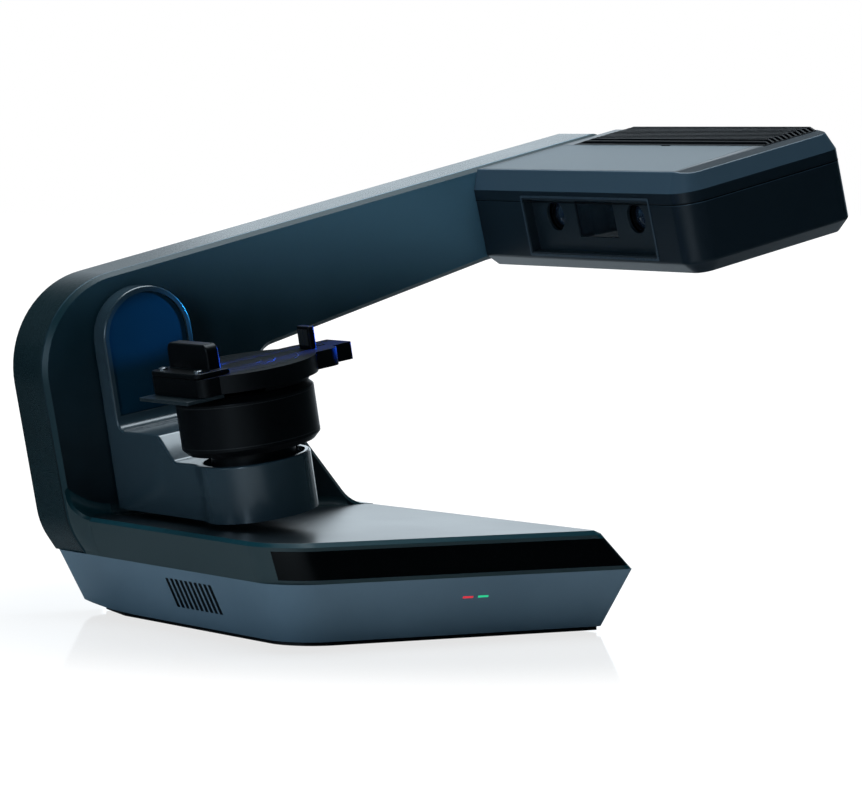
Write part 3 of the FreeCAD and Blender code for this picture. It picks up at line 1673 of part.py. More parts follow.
lenses.pad(
    "YZ_Plane",
    [circle(y, "lens_v", glass_radius) for y in LENSES],
    plus(barrel_in, "barrel_wall"),
    plus(barrel_in, "barrel_wall", "glass_thick"),
)
boards = Piece("camera_boards", "head")
boards.pad(
    "YZ_Plane",
    [
        rect(
            minus(y, "camera_size/2"),
            "bench_low",
            plus(y, "camera_size/2"),
            "bench_low + camera_size",
        ) for y in LENSES
    ],
    bench_out,
    plus(bench_out, "camera_deep"),
)
beam = Piece("projector_body", "head")
beam_in = plus(barrel_in, "beam_lens_long")
beam.pad("YZ_Plane", [beam_loop], beam_in, plus(beam_in, "beam_long"))
lens_v_mid = "(projector_low + projector_high/2 - barrel_wall)"
tube(
    "projector_lens",
    "head",
    neg("projector_mid"),
    lens_v_mid,
    "beam_lens",
    None,
    barrel_in,
    beam_in,
    "YZ_Plane",
)

# fan under the louvres and the head's circuit board
FAN_ALONG = "((grille_front + grille_far)/2)"
FAN_ACROSS = neg("(grille_left + grille_right)/2")
fan_high = "(fan_low + fan_thick)"
fan = Piece("fan_frame", "head")
fan_square = rect(
    minus(FAN_ALONG, "fan_half"),
    minus(FAN_ACROSS, "fan_half"),
    plus(FAN_ALONG, "fan_half"),
    plus(FAN_ACROSS, "fan_half"),
)
fan.pad("XY_Plane", [fan_square], "fan_low", fan_high)
fan.cut(
    "XY_Plane",
    [circle(FAN_ALONG, FAN_ACROSS, "fan_bore")],
    "fan_low + fan_base",
    "(%s + overrun)" % fan_high,
)
fan.cut(
    "XY_Plane",
    [circle(FAN_ALONG, FAN_ACROSS, "fan_bore - fan_base"), circle(FAN_ALONG, FAN_ACROSS, "fan_hub")],
    "fan_low - overrun",
    "fan_low + fan_base + overrun",
)
spoke = "(blade_thick/2)"
fan.pad(
    "XY_Plane",
    [
        rect(
            minus(FAN_ALONG, "fan_bore"),
            minus(FAN_ACROSS, spoke),
            plus(FAN_ALONG, "fan_bore"),
            plus(FAN_ACROSS, spoke),
        ),
    ],
    "fan_low",
    "fan_low + fan_base",
)
fan.pad(
    "XY_Plane",
    [circle(FAN_ALONG, FAN_ACROSS, "fan_pin")],
    "fan_low + fan_base",
    "fan_low + fan_thick - fan_base",
)
rotor = Piece("fan_rotor", "head")
rotor_low = "(fan_low + fan_base + slide_clear*3)"
rotor_high = minus(fan_high, "fan_base")
rotor.pad(
    "XY_Plane",
    [circle(FAN_ALONG, FAN_ACROSS, "fan_hub"), circle(FAN_ALONG, FAN_ACROSS, "fan_pin + run_clear")],
    rotor_low,
    rotor_high,
)
blades = []
for i in range(int(num("blade_count"))):
    turn = "(360*%d/blade_count)" % i
    inner, outer = "(fan_hub - blade_thick/2)", "fan_rotor - slide_clear"
    blade = []
    for radius, side in ((inner, -1), (outer, -1), (outer, 1), (inner, 1)):
        across = "(%d*%s)" % (side, spoke)
        bu = "(%s + (%s)*cos(%s) - %s*sin(%s))" % (FAN_ALONG, radius, turn, across, turn)
        bv = "(%s + (%s)*sin(%s) + %s*cos(%s))" % (FAN_ACROSS, radius, turn, across, turn)
        blade.append((bu, bv))
    blades.append(blade)
for blade in blades:
    rotor.pad("XY_Plane", [blade], plus(rotor_low, "slide_clear"), minus(rotor_high, "slide_clear"))
leg_at = "(fan_half - post_radius)"


def fan_leg_pair(u):
    """Return the circles of the two fan legs at one place along the arm."""
    return [
        circle(u, minus(FAN_ACROSS, leg_at), "post_radius"),
        circle(u, plus(FAN_ACROSS, leg_at), "post_radius"),
    ]


legs = Piece("fan_posts", "head")
board_u, board_y = plus("head_end", neg("head_board_in")), neg("head_right - head_board_in")
hb_front = "(%s + beam_lens_long + bench_thick*2)" % bench_out
hb_low = plus(floor_top, "head_board_lift")
hb_top = plus(hb_low, "board_thick")
legs.pad("XY_Plane", fan_leg_pair(minus(FAN_ALONG, leg_at)), hb_top, "fan_low")
legs.pad("XY_Plane", fan_leg_pair(plus(FAN_ALONG, leg_at)), "head_low + head_bevel", "fan_low")
Piece("head_board", "head").pad(
    "XY_Plane",
    [
        rect(
            hb_front,
            board_y,
            minus("head_end", "head_bevel", "head_wall", "bezel_clear"),
            neg("head_board_in"),
        ),
    ],
    hb_low,
    hb_top,
)
hb_posts = []
for u in (plus(hb_front, "post_radius"), minus("head_end", "head_bevel", "head_wall", "post_radius*2")):
    for y in (plus(board_y, "post_radius"), neg("head_board_in + post_radius")):
        hb_posts.append(circle(u, y, "post_radius"))
Piece("head_board_posts", "head").pad("XY_Plane", hb_posts, floor_top, hb_low)
legs_beam = Piece("projector_legs", "head")
legs_beam.pad(
    "XY_Plane",
    [
        rect(
            plus(beam_in, "beam_long - bench_thick*2"),
            beam_y_low,
            plus(beam_in, "beam_long - bench_thick"),
            beam_y_high,
        ),
    ],
    hb_top,
    "beam_low",
)

# places of the frames, and one file for each sub-part
top_u, low_v = num("head_end"), num("head_low + head_bevel")
tilt = math.radians(num("head_tilt_angle"))
right_x = top_u * math.cos(tilt) - low_v * math.sin(tilt)
frame_box = housing.body.Shape.BoundBox
left_x = frame_box.XMin
shift = FreeCAD.Vector(-(left_x + right_x) / 2, (num("base_front") - num("frame_thick")) / 2, 0)
swing = FreeCAD.Rotation(FreeCAD.Vector(0, 1, 0), -num("swing_rest_angle"))
slope = FreeCAD.Rotation(FreeCAD.Vector(0, 1, 0), -num("head_tilt_angle"))
pivot = shift + FreeCAD.Vector(num("pivot_x"), 0, num("pivot_z"))
table_at = pivot + swing.multVec(FreeCAD.Vector(0, num(AXIS), 0))
PLACES = {
    "stand": FreeCAD.Placement(shift, FreeCAD.Rotation()),
    "head": FreeCAD.Placement(shift, slope),
    "cradle": FreeCAD.Placement(pivot, swing),
    "table": FreeCAD.Placement(table_at, swing),
}
os.makedirs("parts", exist_ok=True)
for piece in PIECES:
    placed = piece.body.Base if isinstance(piece, Joined) else piece.body
    placed.Placement = PLACES[piece.frame].multiply(placed.Placement)
doc.recompute()
for item in doc.Objects:
    if "Invalid" in item.State or "Error" in item.State:
        raise ValueError("%s has state %s" % (item.Name, item.State))
for piece in PIECES:
    shape = piece.body.Shape
    if shape.isNull() or not shape.isValid() or not shape.Solids:
        raise ValueError("%s is not a sound solid" % piece.label)
    shape.exportStep("parts/%s.step" % piece.label)
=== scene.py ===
"""Desktop scanner with a C-shaped frame, dressed for rendering in Blender 4.5."""
import json
import logging
import math
from dataclasses import dataclass, field
from enum import Enum
from typing import Any, Callable, ClassVar, Sequence

import bmesh
import bpy
import numpy as np
from mathutils import Matrix, Vector


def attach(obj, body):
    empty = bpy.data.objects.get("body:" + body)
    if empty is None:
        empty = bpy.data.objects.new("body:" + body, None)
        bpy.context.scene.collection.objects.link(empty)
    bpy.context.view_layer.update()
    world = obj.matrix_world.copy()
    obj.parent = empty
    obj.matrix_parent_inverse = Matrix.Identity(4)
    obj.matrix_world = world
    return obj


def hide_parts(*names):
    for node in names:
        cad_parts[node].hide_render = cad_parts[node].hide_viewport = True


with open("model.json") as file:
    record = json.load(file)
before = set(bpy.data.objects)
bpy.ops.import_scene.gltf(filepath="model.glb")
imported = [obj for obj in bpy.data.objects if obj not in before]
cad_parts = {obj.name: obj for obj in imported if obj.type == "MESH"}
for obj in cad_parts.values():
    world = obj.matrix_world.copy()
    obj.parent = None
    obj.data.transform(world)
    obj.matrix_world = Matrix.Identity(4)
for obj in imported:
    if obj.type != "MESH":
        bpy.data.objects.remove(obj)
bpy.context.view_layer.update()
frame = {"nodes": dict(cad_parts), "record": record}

log = logging.getLogger("scanner")
MM = 0.001
Colour = tuple[float, float, float]
Spot = tuple[float, float, float]
SKIN_DEPTH = 0.000012  # height of a moulded shell's texture, in metres
CLOUD_DRIFT, SPECK_DRIFT = 0.08, 0.06  # how far roughness follows the coarse and the fine noise


class Edge(Enum):
    """How softly the edges of a shell are broken, in metres."""

    CRISP = 0.00015
    MOULDED = 0.0005
    SOFT = 0.0009
    ROUND = 0.0015


def joint_place(name: str) -> Vector:
    """Return a joint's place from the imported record."""
    joints = frame["record"]["behaviour"]["joints"]
    return Vector(next(joint["pos_m"] for joint in joints if joint["name"] == name))


@dataclass(frozen=True)
class Stand:
    """Places shared by every sub-assembly, in the row frame.

    The head's axes are the stand's turned by the slope of the arm, and the
    cradle's are turned by its swing at rest.
    """

    slope: float = math.radians(13.9)
    swing: float = math.radians(10.2)
    pivot: Spot = (0.0425, 0.0, 0.1631)

    @property
    def shift(self) -> Vector:
        """Return the stand's origin, found from the swing axis."""
        return joint_place("cradle_swing") - Vector(self.pivot)

    def head(self) -> Matrix:
        """Return the matrix from head places to the row frame."""
        return Matrix.Translation(self.shift) @ Matrix.Rotation(-self.slope, 4, "Y")

    def cradle(self) -> Matrix:
        """Return the matrix from cradle places to the row frame."""
        return Matrix.Translation(self.shift + Vector(self.pivot)) @ Matrix.Rotation(-self.swing, 4, "Y")

    def base(self) -> Matrix:
        """Return the matrix from stand places to the row frame."""
        return Matrix.Translation(self.shift)


STAND = Stand()


def math_method(kind: str, flipped: bool = False) -> Callable[["Wire", Any], "Wire"]:
    """Return a method that adds one Math node for two values.

    Args:
        kind: the node's operation.
        flipped: whether the other value comes first, as in the reflected operators.

    Returns:
        The method.
    """

    def method(self: "Wire", other: Any) -> "Wire":
        """Return the node's result for self and the other value."""
        return self._math(kind, *((other, self) if flipped else (self, other)))

    return method


class Wire:
    """A shader socket with arithmetic, so that masks read as formulas."""

    def __init__(self, bench: "NodeBench", socket: bpy.types.NodeSocket) -> None:
        """Keep the socket and the material that it is in."""
        self.bench = bench
        self.socket = socket

    def _math(self, kind: str, *values: Any) -> "Wire":
        """Return the result of one Math node, given its values in order."""
        return self.bench.node("ShaderNodeMath", {"operation": kind}, dict(enumerate(values)))

    __add__ = math_method("ADD")
    __radd__ = math_method("ADD", True)
    __sub__ = math_method("SUBTRACT")
    __rsub__ = math_method("SUBTRACT", True)
    __mul__ = math_method("MULTIPLY")
    __rmul__ = math_method("MULTIPLY", True)
    __truediv__ = math_method("DIVIDE")
    __rtruediv__ = math_method("DIVIDE", True)
    __pow__ = math_method("POWER")
    __lt__ = math_method("LESS_THAN")
    least = math_method("MINIMUM")
    most = math_method("MAXIMUM")

    def __abs__(self) -> "Wire":
        """Return the size of self."""
        return self._math("ABSOLUTE", self)

    def wave(self) -> "Wire":
        """Return the sine of self."""
        return self._math("SINE", self)

    def clear(self) -> "Wire":
        """Return self held between 0 and 1."""
        return self.most(0.0).least(1.0)

    def ramp(self, low: float, high: float) -> "Wire":
        """Return 0 below low and 1 above high, smooth between them."""
        sockets = {"Value": self, "From Min": low, "From Max": high}
        return self.bench.node("ShaderNodeMapRange", {"interpolation_type": "SMOOTHSTEP"}, sockets)


class NodeBench:
    """Builds the nodes of one material or of the world."""

    def __init__(self, name: str, home: Any = None) -> None:
        """Start an empty node tree.

        Args:
            name: the new material's name.
            home: the world to build in, or None for a new material.
        """
        self.material = home or bpy.data.materials.new(name)
        self.material.use_nodes = True
        self.tree = self.material.node_tree
        self.tree.nodes.clear()
        self._place: Wire | None = None

    def node(self, kind: str, settings: dict[str, Any], sockets: dict[Any, Any], out: Any = None) -> Wire:
        """Add a node, set it up and fill its sockets.

        Args:
            kind: the node's type.
            settings: its settings.
            sockets: input name or index to a wire or a value.
            out: output name or index, or None for the first that shows.

        Returns:
            The chosen output.
        """
        made = self.tree.nodes.new(kind)
        for key, value in settings.items():
            setattr(made, key, value)
        for key, value in sockets.items():
            socket = made.inputs[key]
            if isinstance(value, Wire):
                self.tree.links.new(value.socket, socket)
            else:
                socket.default_value = value
        if not made.outputs:
            return Wire(self, made.inputs[0])
        shown = next(socket for socket in made.outputs if socket.enabled)
        return Wire(self, shown if out is None else made.outputs[out])

    def place(self) -> Wire:
        """Return the Object coordinates."""
        if self._place is None:
            self._place = self.node("ShaderNodeTexCoord", {}, {}, "Object")
        return self._place

    def stretched(self, stretch: Sequence[float]) -> Wire:
        """Return the Object coordinates scaled along each axis."""
        sockets = {"Vector": self.place(), "Scale": tuple(stretch)}
        return self.node("ShaderNodeMapping", {"vector_type": "POINT"}, sockets)

    def grain(self, scale: float, detail: float = 2.0, where: Wire | None = None) -> Wire:
        """Return a noise value about 0.5.

        Args:
            scale: features per metre.
            detail: octaves of finer noise.
            where: the coordinates to read, or None for the object's.

        Returns:
            The noise.
        """
        sockets = {"Vector": where or self.place(), "Scale": scale, "Detail": detail}
        return self.node("ShaderNodeTexNoise", {}, sockets, "Fac")

    def blend(self, amount: Wire, first: Sequence[float], second: Sequence[float]) -> Wire:
        """Return a colour between two, by a wire.

        Args:
            amount: 0 for the first colour and 1 for the second.
            first: a linear colour or a wire.
            second: a linear colour or a wire.

        Returns:
            The mixed colour.
        """
        pair = [c if isinstance(c, Wire) else (*c, 1.0) for c in (first, second)]
        return self.node("ShaderNodeMix", {"data_type": "RGBA"}, {0: amount, 6: pair[0], 7: pair[1]}, 2)

    def bump(self, height: Wire, depth: float = SKIN_DEPTH) -> Wire:
        """Return a normal bumped by a height.

        Args:
            height: the height, 0 to 1.
            depth: the depth in metres that 1 stands for.

        Returns:
            The bumped normal.
        """
        return self.node("ShaderNodeBump", {}, {"Strength": 1.0, "Distance": depth, "Height": height})

    def satin(self, rough: float, cloud: Wire, speck: Wire) -> Wire:
        """Return a roughness that drifts with a coarse and a fine noise."""
        return rough + (cloud - 0.5) * CLOUD_DRIFT + (speck - 0.5) * SPECK_DRIFT

    def mix(self, amount: Wire | float, first: Wire, second: Wire) -> Wire:
        """Return a shader between two, by an amount."""
        return self.node("ShaderNodeMixShader", {}, {0: amount, 1: first, 2: second})

    def split(self, vector: Wire) -> tuple[Wire, Wire, Wire]:
        """Return a vector's three parts."""
        made = self.tree.nodes.new("ShaderNodeSeparateXYZ")
        self.tree.links.new(vector.socket, made.inputs[0])
        return tuple(Wire(self, made.outputs[i]) for i in range(3))

    def facing(self) -> tuple[Wire, Wire, Wire]:
        """Return the surface normal's three parts."""
        return self.split(self.node("ShaderNodeNewGeometry", {}, {}, "Normal"))

    def parts(self) -> tuple[Wire, Wire, Wire]:
        """Return the Object coordinates' three parts."""
        return self.split(self.place())

    def finish(self, **sockets: Any) -> bpy.types.Material:
        """Close the material with a Principled shader.

        Args:
            sockets: socket names, with spaces as underscores, to values.

        Returns:
            The material.
        """
        named = {key.replace("_", " "): value for key, value in sockets.items()}
        shader = self.node("ShaderNodeBsdfPrincipled", {}, named, "BSDF")
        self.node("ShaderNodeOutputMaterial", {}, {"Surface": shader})
        return self.material


@dataclass(frozen=True)
class MouldedFinish:
    """Satin moulded or painted shell with a fine texture and a soft cloudiness."""

    name: str
    colour: Colour
    lift: Colour
    rough: float = 0.36
    texture: float = 2600.0
    depth: float = SKIN_DEPTH
    coat: float = 0.0
    shine: float = 0.5

    def build(self) -> bpy.types.Material:
        """Return the finish as a material.

        The colour drifts between two close tones over about a hand's width,
        the texture is a fine noise, and roughness follows both.
        """
        b = NodeBench(self.name)
        cloud = b.grain(14.0, 3.0)
        speck = b.grain(self.texture, 2.0)
        colour = b.blend(cloud.ramp(0.3, 0.7), self.colour, self.lift)
        return b.finish(
            Base_Color=colour,
            Roughness=b.satin(self.rough, cloud, speck),
            Coat_Weight=self.coat,
            Coat_Roughness=0.12,
            Specular_IOR_Level=self.shine,
            Normal=b.bump(speck, self.depth),
        )


@dataclass(frozen=True)
class FaceFinish:
    """Lacquer of the frame's face, with painted shade near black at the foot, teal above, then painted
    light in slate along the arm.
    """

    name: str
    # Colours by height: painted shade low on the face, painted light along the arm; edge is a painted
    # highlight.
    low: Colour = (0.0005, 0.004, 0.006)
    middle: Colour = (0.001, 0.024, 0.036)
    high: Colour = (0.140, 0.285, 0.380)
    edge: Colour = (0.003, 0.036, 0.046)
    shade_levels: tuple[float, float, float, float] = (0.10, 0.20, 0.165, 0.245)
    rough: float = 0.38

    def build(self) -> bpy.types.Material:
        """Return the finish: painted shade at the foot gives way to painted light as height rises, and
        slanted facets take the edge's painted highlight.
        """
        b = NodeBench(self.name)
        _, _, height = b.parts()
        speck = b.grain(2600.0)
        cloud = b.grain(11.0, 3.0)
        # The height ramps paint the shade on the foot and the light along the arm into the lacquer.
        lacquer = b.blend(height.ramp(*self.shade_levels[:2]), self.low, self.middle)
        lacquer = b.blend(height.ramp(*self.shade_levels[2:]), lacquer, self.high)
        lacquer = b.blend(cloud.ramp(0.3, 0.8) * 0.12, lacquer, self.high)
        # Facets slanted across y take the edge colour as a painted highlight.
        slant = abs(b.facing()[1])
        highlight_mask = slant.ramp(0.45, 0.6) * (1.0 - slant.ramp(0.85, 0.95))
        return b.finish(
            Base_Color=b.blend(highlight_mask, lacquer, self.edge),
            Roughness=b.satin(self.rough, cloud, speck),
            Normal=b.bump(speck),
        )


@dataclass(frozen=True)
class FacetFinish:
    """Lacquered shell with painted light and shade: flats and sides take lit and shaded tones, and
    bevelled edges a painted highlight.
    """

    name: str
    # flat and side are painted shade and light of one lacquer by facing; edge is the bevels' painted
    # highlight.
    flat: Colour
    side: Colour
    edge: Colour
    rough: float = 0.31
    highlight_slants: tuple[float, float, float, float] = (0.10, 0.16, 0.86, 0.95)
    turned: float = 2.0

    def build(self) -> bpy.types.Material:
        """Return the finish: the painted light and shade follow how far the surface faces up or down.

        A surface that faces x by more than the turned limit keeps the side's colour, without the painted
        highlight.
        """
        b = NodeBench(self.name)
        speck = b.grain(3200.0)
        cloud = b.grain(12.0, 3.0)
        across, _, level = b.facing()
        # Painted light and shade: flats and sides take different tones of one lacquer.
        painted_light_tone = b.blend(abs(level).ramp(0.5, 0.8), self.side, self.flat)
        # Bevels between flat and side take the edge colour as a painted highlight.
        low, rising, falling, high = self.highlight_slants
        highlight_mask = level.ramp(low, rising) * (1.0 - level.ramp(falling, high)) * (across < self.turned)
        return b.finish(
            Base_Color=b.blend(highlight_mask * (0.85 + cloud * 0.3).clear(), painted_light_tone, self.edge),
            Roughness=b.satin(self.rough, cloud, speck),
            Normal=b.bump(speck),
        )


@dataclass(frozen=True)
class GlossFinish:
    """Polished black band with a trace of dust and wiping marks."""

    name: str
    colour: Colour = (0.0006, 0.0008, 0.0011)
    rough: float = 0.07

    def build(self) -> bpy.types.Material:
        """Return the finish: clear black, rougher along faint wiping streaks."""
        b = NodeBench(self.name)
        streak = b.grain(30.0, 4.0, b.stretched((1.0, 1.0, 9.0)))
        dust = b.grain(900.0, 3.0).ramp(0.72, 0.8)
        return b.finish(
            Base_Color=b.blend(dust, self.colour, (0.02, 0.022, 0.026)),
            Roughness=self.rough + streak.ramp(0.45, 0.75) * 0.07 + dust * 0.2,
            Specular_IOR_Level=0.3,
            Coat_Weight=0.15,
            Coat_Roughness=0.04,
        )


@dataclass(frozen=True)
class MetalFinish:
    """Machined or brushed metal with fine lines along one axis."""

    name: str
    colour: Colour = (0.56, 0.57, 0.59)
    rough: float = 0.3
    lines: Spot = (1.0, 1.0, 40.0)

    def build(self) -> bpy.types.Material:
        """Return the finish: noise drawn out into lines, on metal."""
        b = NodeBench(self.name)
        line = b.grain(120.0, 5.0, b.stretched(self.lines))
        stain = b.grain(45.0, 2.0)
        dark = tuple(c * 0.78 for c in self.colour)
        return b.finish(
            Base_Color=b.blend(line.ramp(0.35, 0.7), dark, self.colour),
            Metallic=1.0,
            Roughness=self.rough + (line - 0.5) * 0.18 + (stain - 0.5) * 0.1,
            Normal=b.bump(line, 0.00001),
        )


@dataclass(frozen=True)
class RubberFinish:
    """Dull rubber with a pebbled skin."""

    name: str
    colour: Colour = (0.012, 0.012, 0.013)

    def build(self) -> bpy.types.Material:
        """Return the finish: cells for the pebbles, high roughness."""
        b = NodeBench(self.name)
        cells = b.node("ShaderNodeTexVoronoi", {}, {"Vector": b.place(), "Scale": 1100.0}, "Distance")
        wear = b.grain(60.0, 3.0)
        return b.finish(
            Base_Color=b.blend(wear, self.colour, (0.03, 0.03, 0.031)),
            Roughness=0.82 + (wear - 0.5) * 0.2,
            Normal=b.bump(cells, 0.00006),
        )


@dataclass(frozen=True)
class BoardFinish:
    """Printed board: lacquer over traces, with plated pads."""

    name: str
    lacquer: Colour = (0.008, 0.06, 0.03)

    def build(self) -> bpy.types.Material:
        """Return the finish: a brick grid for traces and dots for the pads."""
        b = NodeBench(self.name)
        grid = b.node(
            "ShaderNodeTexBrick",
            {},
            {"Vector": b.place(), "Scale": 90.0, "Mortar Size": 0.03, "Brick Width": 0.7},
            "Fac",
        )
        dots = b.node("ShaderNodeTexVoronoi", {}, {"Vector": b.place(), "Scale": 260.0}, "Distance")
        pads = 1.0 - dots.ramp(0.16, 0.2)
        copper = b.blend(grid, self.lacquer, (0.02, 0.13, 0.06))
        return b.finish(
            Base_Color=b.blend(pads, copper, (0.55, 0.42, 0.16)),
            Metallic=pads * 0.9,
            Roughness=0.34 - pads * 0.1,
            Normal=b.bump(grid, 0.00004),
        )


@dataclass(frozen=True)
class GlassFinish:
    """Coated glass with a tint and faint cleaning marks."""

    name: str
    tint: Colour = (0.02, 0.03, 0.05)
    clear: float = 0.0
    coat: Colour = (0.05, 0.10, 0.16)

    def build(self) -> bpy.types.Material:
        """Return the finish: the tint deepens with the cleaning marks."""
        b = NodeBench(self.name)
        mark = b.grain(220.0, 4.0).ramp(0.5, 0.85)
        return b.finish(
            Base_Color=b.blend(mark, self.tint, self.coat),
            Roughness=0.03 + mark * 0.05,
            IOR=1.52,
            Coat_Weight=1.0,
            Coat_Roughness=0.02,
            Alpha=1.0 - self.clear,
        )


@dataclass(frozen=True)
class LampFinish:
    """Status light: a coloured lens that glows through fine ribs."""

    name: str
    colour: Colour
    glow: Colour
    strength: float

    def build(self) -> bpy.types.Material:
        """Return the finish: a glow broken up by the lens's fine ribs."""
        b = NodeBench(self.name)
        x, _, _ = b.parts()
        rib = (x * 9000.0).wave() * 0.5 + 0.5
        soft = b.grain(160.0)
        return b.finish(
            Base_Color=b.blend(soft, self.colour, self.glow),
            Roughness=0.22 + rib * 0.1,
            Emission_Color=b.blend(rib * 0.35, self.glow, self.colour),
            Emission_Strength=self.strength,
            Normal=b.bump(rib, 0.00002),
        )


@dataclass
class Palette:
    """Every finish of the scanner, built once."""

    built: dict[str, bpy.types.Material] = field(default_factory=dict)

    def __post_init__(self) -> None:
        """Build the finishes."""
        finishes = [
            MouldedFinish("base_slate", (0.150, 0.215, 0.268), (0.168, 0.238, 0.295), 0.40, shine=0.3),
            # Deck, foot and head: flat and side tones are painted light and shade, edge tones painted
            # highlights on the bevels.
            FacetFinish(
                "deck_slate", (0.007, 0.012, 0.016), (0.040, 0.064, 0.068), (0.004, 0.052, 0.068),
                turned=0.6,
            ),
            FacetFinish("foot_slate", (0.002, 0.020, 0.026), (0.040, 0.064, 0.068), (0.002, 0.030, 0.038)),
            FacetFinish(
                "head_slate", (0.012, 0.021, 0.030), (0.013, 0.022, 0.031), (0.078, 0.128, 0.172), 0.30
            ),
            # Frame face: painted shade at the foot, painted light along the arm, painted highlights on
            # slanted facets.
            FaceFinish("frame_slate"),
            # The lip's lighter slate is a painted highlight along the window's lip.
            MouldedFinish("lip_highlight_slate", (0.060, 0.085, 0.110), (0.070, 0.098, 0.125), 0.28),
            MouldedFinish("bezel_slate", (0.016, 0.026, 0.034), (0.020, 0.031, 0.040), 0.34),
            MouldedFinish("tab_metal", (0.020, 0.030, 0.035), (0.026, 0.037, 0.043), 0.30),
            MouldedFinish("housing_slate", (0.010, 0.024, 0.028), (0.013, 0.029, 0.034), 0.27, shine=0.4),
            MouldedFinish(
                "cradle_slate", (0.034, 0.058, 0.074), (0.040, 0.066, 0.083), 0.25, coat=0.5, shine=0.8
            ),
            MouldedFinish("navy_panel", (0.002, 0.030, 0.058), (0.003, 0.036, 0.068), 0.42, shine=0.2),
            MouldedFinish("light_panel", (0.11, 0.14, 0.16), (0.125, 0.155, 0.178), 0.42),
            MouldedFinish(
                "black_plastic", (0.0015, 0.002, 0.003), (0.0025, 0.003, 0.004), 0.42, 2000.0,
                0.00002, shine=0.25,
            ),
            MouldedFinish(
                "grille_black", (0.005, 0.006, 0.008), (0.008, 0.009, 0.011), 0.5, 1800.0,
                0.00002, shine=0.15,
            ),
            MouldedFinish(
                "black_metal", (0.0018, 0.002, 0.0028), (0.003, 0.0033, 0.0042), 0.38, 3600.0,
                0.00001, shine=0.22,
            ),
            MouldedFinish("nylon", (0.60, 0.58, 0.52), (0.66, 0.64, 0.58), 0.5),
            MouldedFinish("chip_black", (0.01, 0.01, 0.011), (0.016, 0.016, 0.017), 0.5, 2400.0),
            GlossFinish("gloss_band"),
            MetalFinish("steel"),
            MetalFinish("brass", (0.72, 0.55, 0.22), 0.3),
            MetalFinish("aluminium", (0.72, 0.73, 0.75), 0.36, (1.0, 30.0, 1.0)),
            RubberFinish("rubber"),
            BoardFinish("board"),
            GlassFinish("lens_glass"),
            GlassFinish("window_glass", (0.01, 0.012, 0.016), 0.35, (0.02, 0.03, 0.05)),
            LampFinish("lamp_red", (0.35, 0.01, 0.01), (1.0, 0.05, 0.08), 0.6),
            LampFinish("lamp_green", (0.02, 0.3, 0.08), (0.04, 0.9, 0.42), 0.55),
        ]
        for finish in finishes:
            self.built[finish.name] = finish.build()

    def dress(self, piece: bpy.types.Object, finish: str) -> bpy.types.Object:
        """Give a piece one finish, by its name, and return the piece."""
        piece.data.materials.clear()
        piece.data.materials.append(self.built[finish])
        return piece


def add_object(name: str, mesh: bpy.types.Mesh) -> bpy.types.Object:
    """Link a mesh into the scene as an object at the origin."""
    piece = bpy.data.objects.new(name, mesh)
    bpy.context.scene.collection.objects.link(piece)
    return piece


def grid_mesh(points: np.ndarray, place: Matrix, ring: bool = False) -> bpy.types.Mesh:
    """Make a closed mesh from a grid of points whose columns run round.

    Args:
        points: the points in millimetres, as rows by columns by 3.
        place: the matrix from the points' own axes to the row frame.
        ring: whether the last row joins the first; else both are capped.

    Returns:
        The mesh, with its faces pointing outwards.
    """
    rows, columns = points.shape[:2]
    index = np.arange(rows * columns).reshape(rows, columns)
    near, far = (index, np.roll(index, -1, 0)) if ring else (index[:-1], index[1:])
    quads = np.stack([near, far, np.roll(far, -1, 1), np.roll(near, -1, 1)], -1)
    faces = quads.reshape(-1, 4).tolist()
    if not ring:
        faces += [index[0].tolist(), index[-1, ::-1].tolist()]
    mesh = bpy.data.meshes.new("surface")
    mesh.from_pydata((points * MM).reshape(-1, 3).tolist(), [], faces)
    work = bmesh.new()
    work.from_mesh(mesh)
    bmesh.ops.remove_doubles(work, verts=work.verts, dist=1e-7)
    bmesh.ops.recalc_face_normals(work, faces=work.faces)
    work.to_mesh(mesh)
    work.free()
    mesh.transform(place)
    return mesh


def turned_mesh(
    profile: Sequence[Sequence[float]], place: Matrix, ring: bool = False, steps: int = 72
) -> bpy.types.Mesh:
    """Turn a radius-height profile, in millimetres, about the local z axis.

    Args:
        profile: radius and height pairs, from one end to the other.
        place: the matrix from the piece's own axes to the row frame.
        ring: whether the profile closes on itself, as a ring's section does.
        steps: the number of steps round.

    Returns:
        The closed mesh.
    """
    outline = np.asarray(profile, float)
    angle = np.linspace(0, 2 * math.pi, steps, endpoint=False)
    radius, height = outline[:, :1], outline[:, 1:]
    points = np.stack([radius * np.cos(angle), radius * np.sin(angle), np.repeat(height, steps, 1)], -1)
    return grid_mesh(points, place, ring)


def keyed_mesh(radius: float, depth: float, key: float, place: Matrix) -> bpy.types.Mesh:
    """Make a screw head with a hexagonal socket, all in millimetres.

    Each row of the surface is a circle or a hexagon. The hexagon's radius at an
    angle is the key's flat over the cosine of the angle from the nearest flat.

    Args:
        radius: the head's radius.
        depth: how far the head goes down from its top.
        key: the socket's half width over flats.
        place: the matrix from the head's axes, with z out of the top.

    Returns:
        The closed mesh.
    """
    steps = 48
    angle = np.linspace(0, 2 * math.pi, steps, endpoint=False)
    circle = np.ones(steps)
    sixth = math.pi / 3
    hexagon = key / np.cos((angle + sixth / 2) % sixth - sixth / 2)
    edge = radius * 0.12
    rows = [
        (circle * radius, -depth), (circle * radius, -edge), (circle * (radius - edge), 0.0),
        (hexagon * 1.06, 0.0), (hexagon, -0.1), (hexagon, -depth * 0.62),
    ]
    points = np.stack(
        [np.stack([r * np.cos(angle), r * np.sin(angle), np.full(steps, h)], -1) for r, h in rows]
    )
    return grid_mesh(points, place)


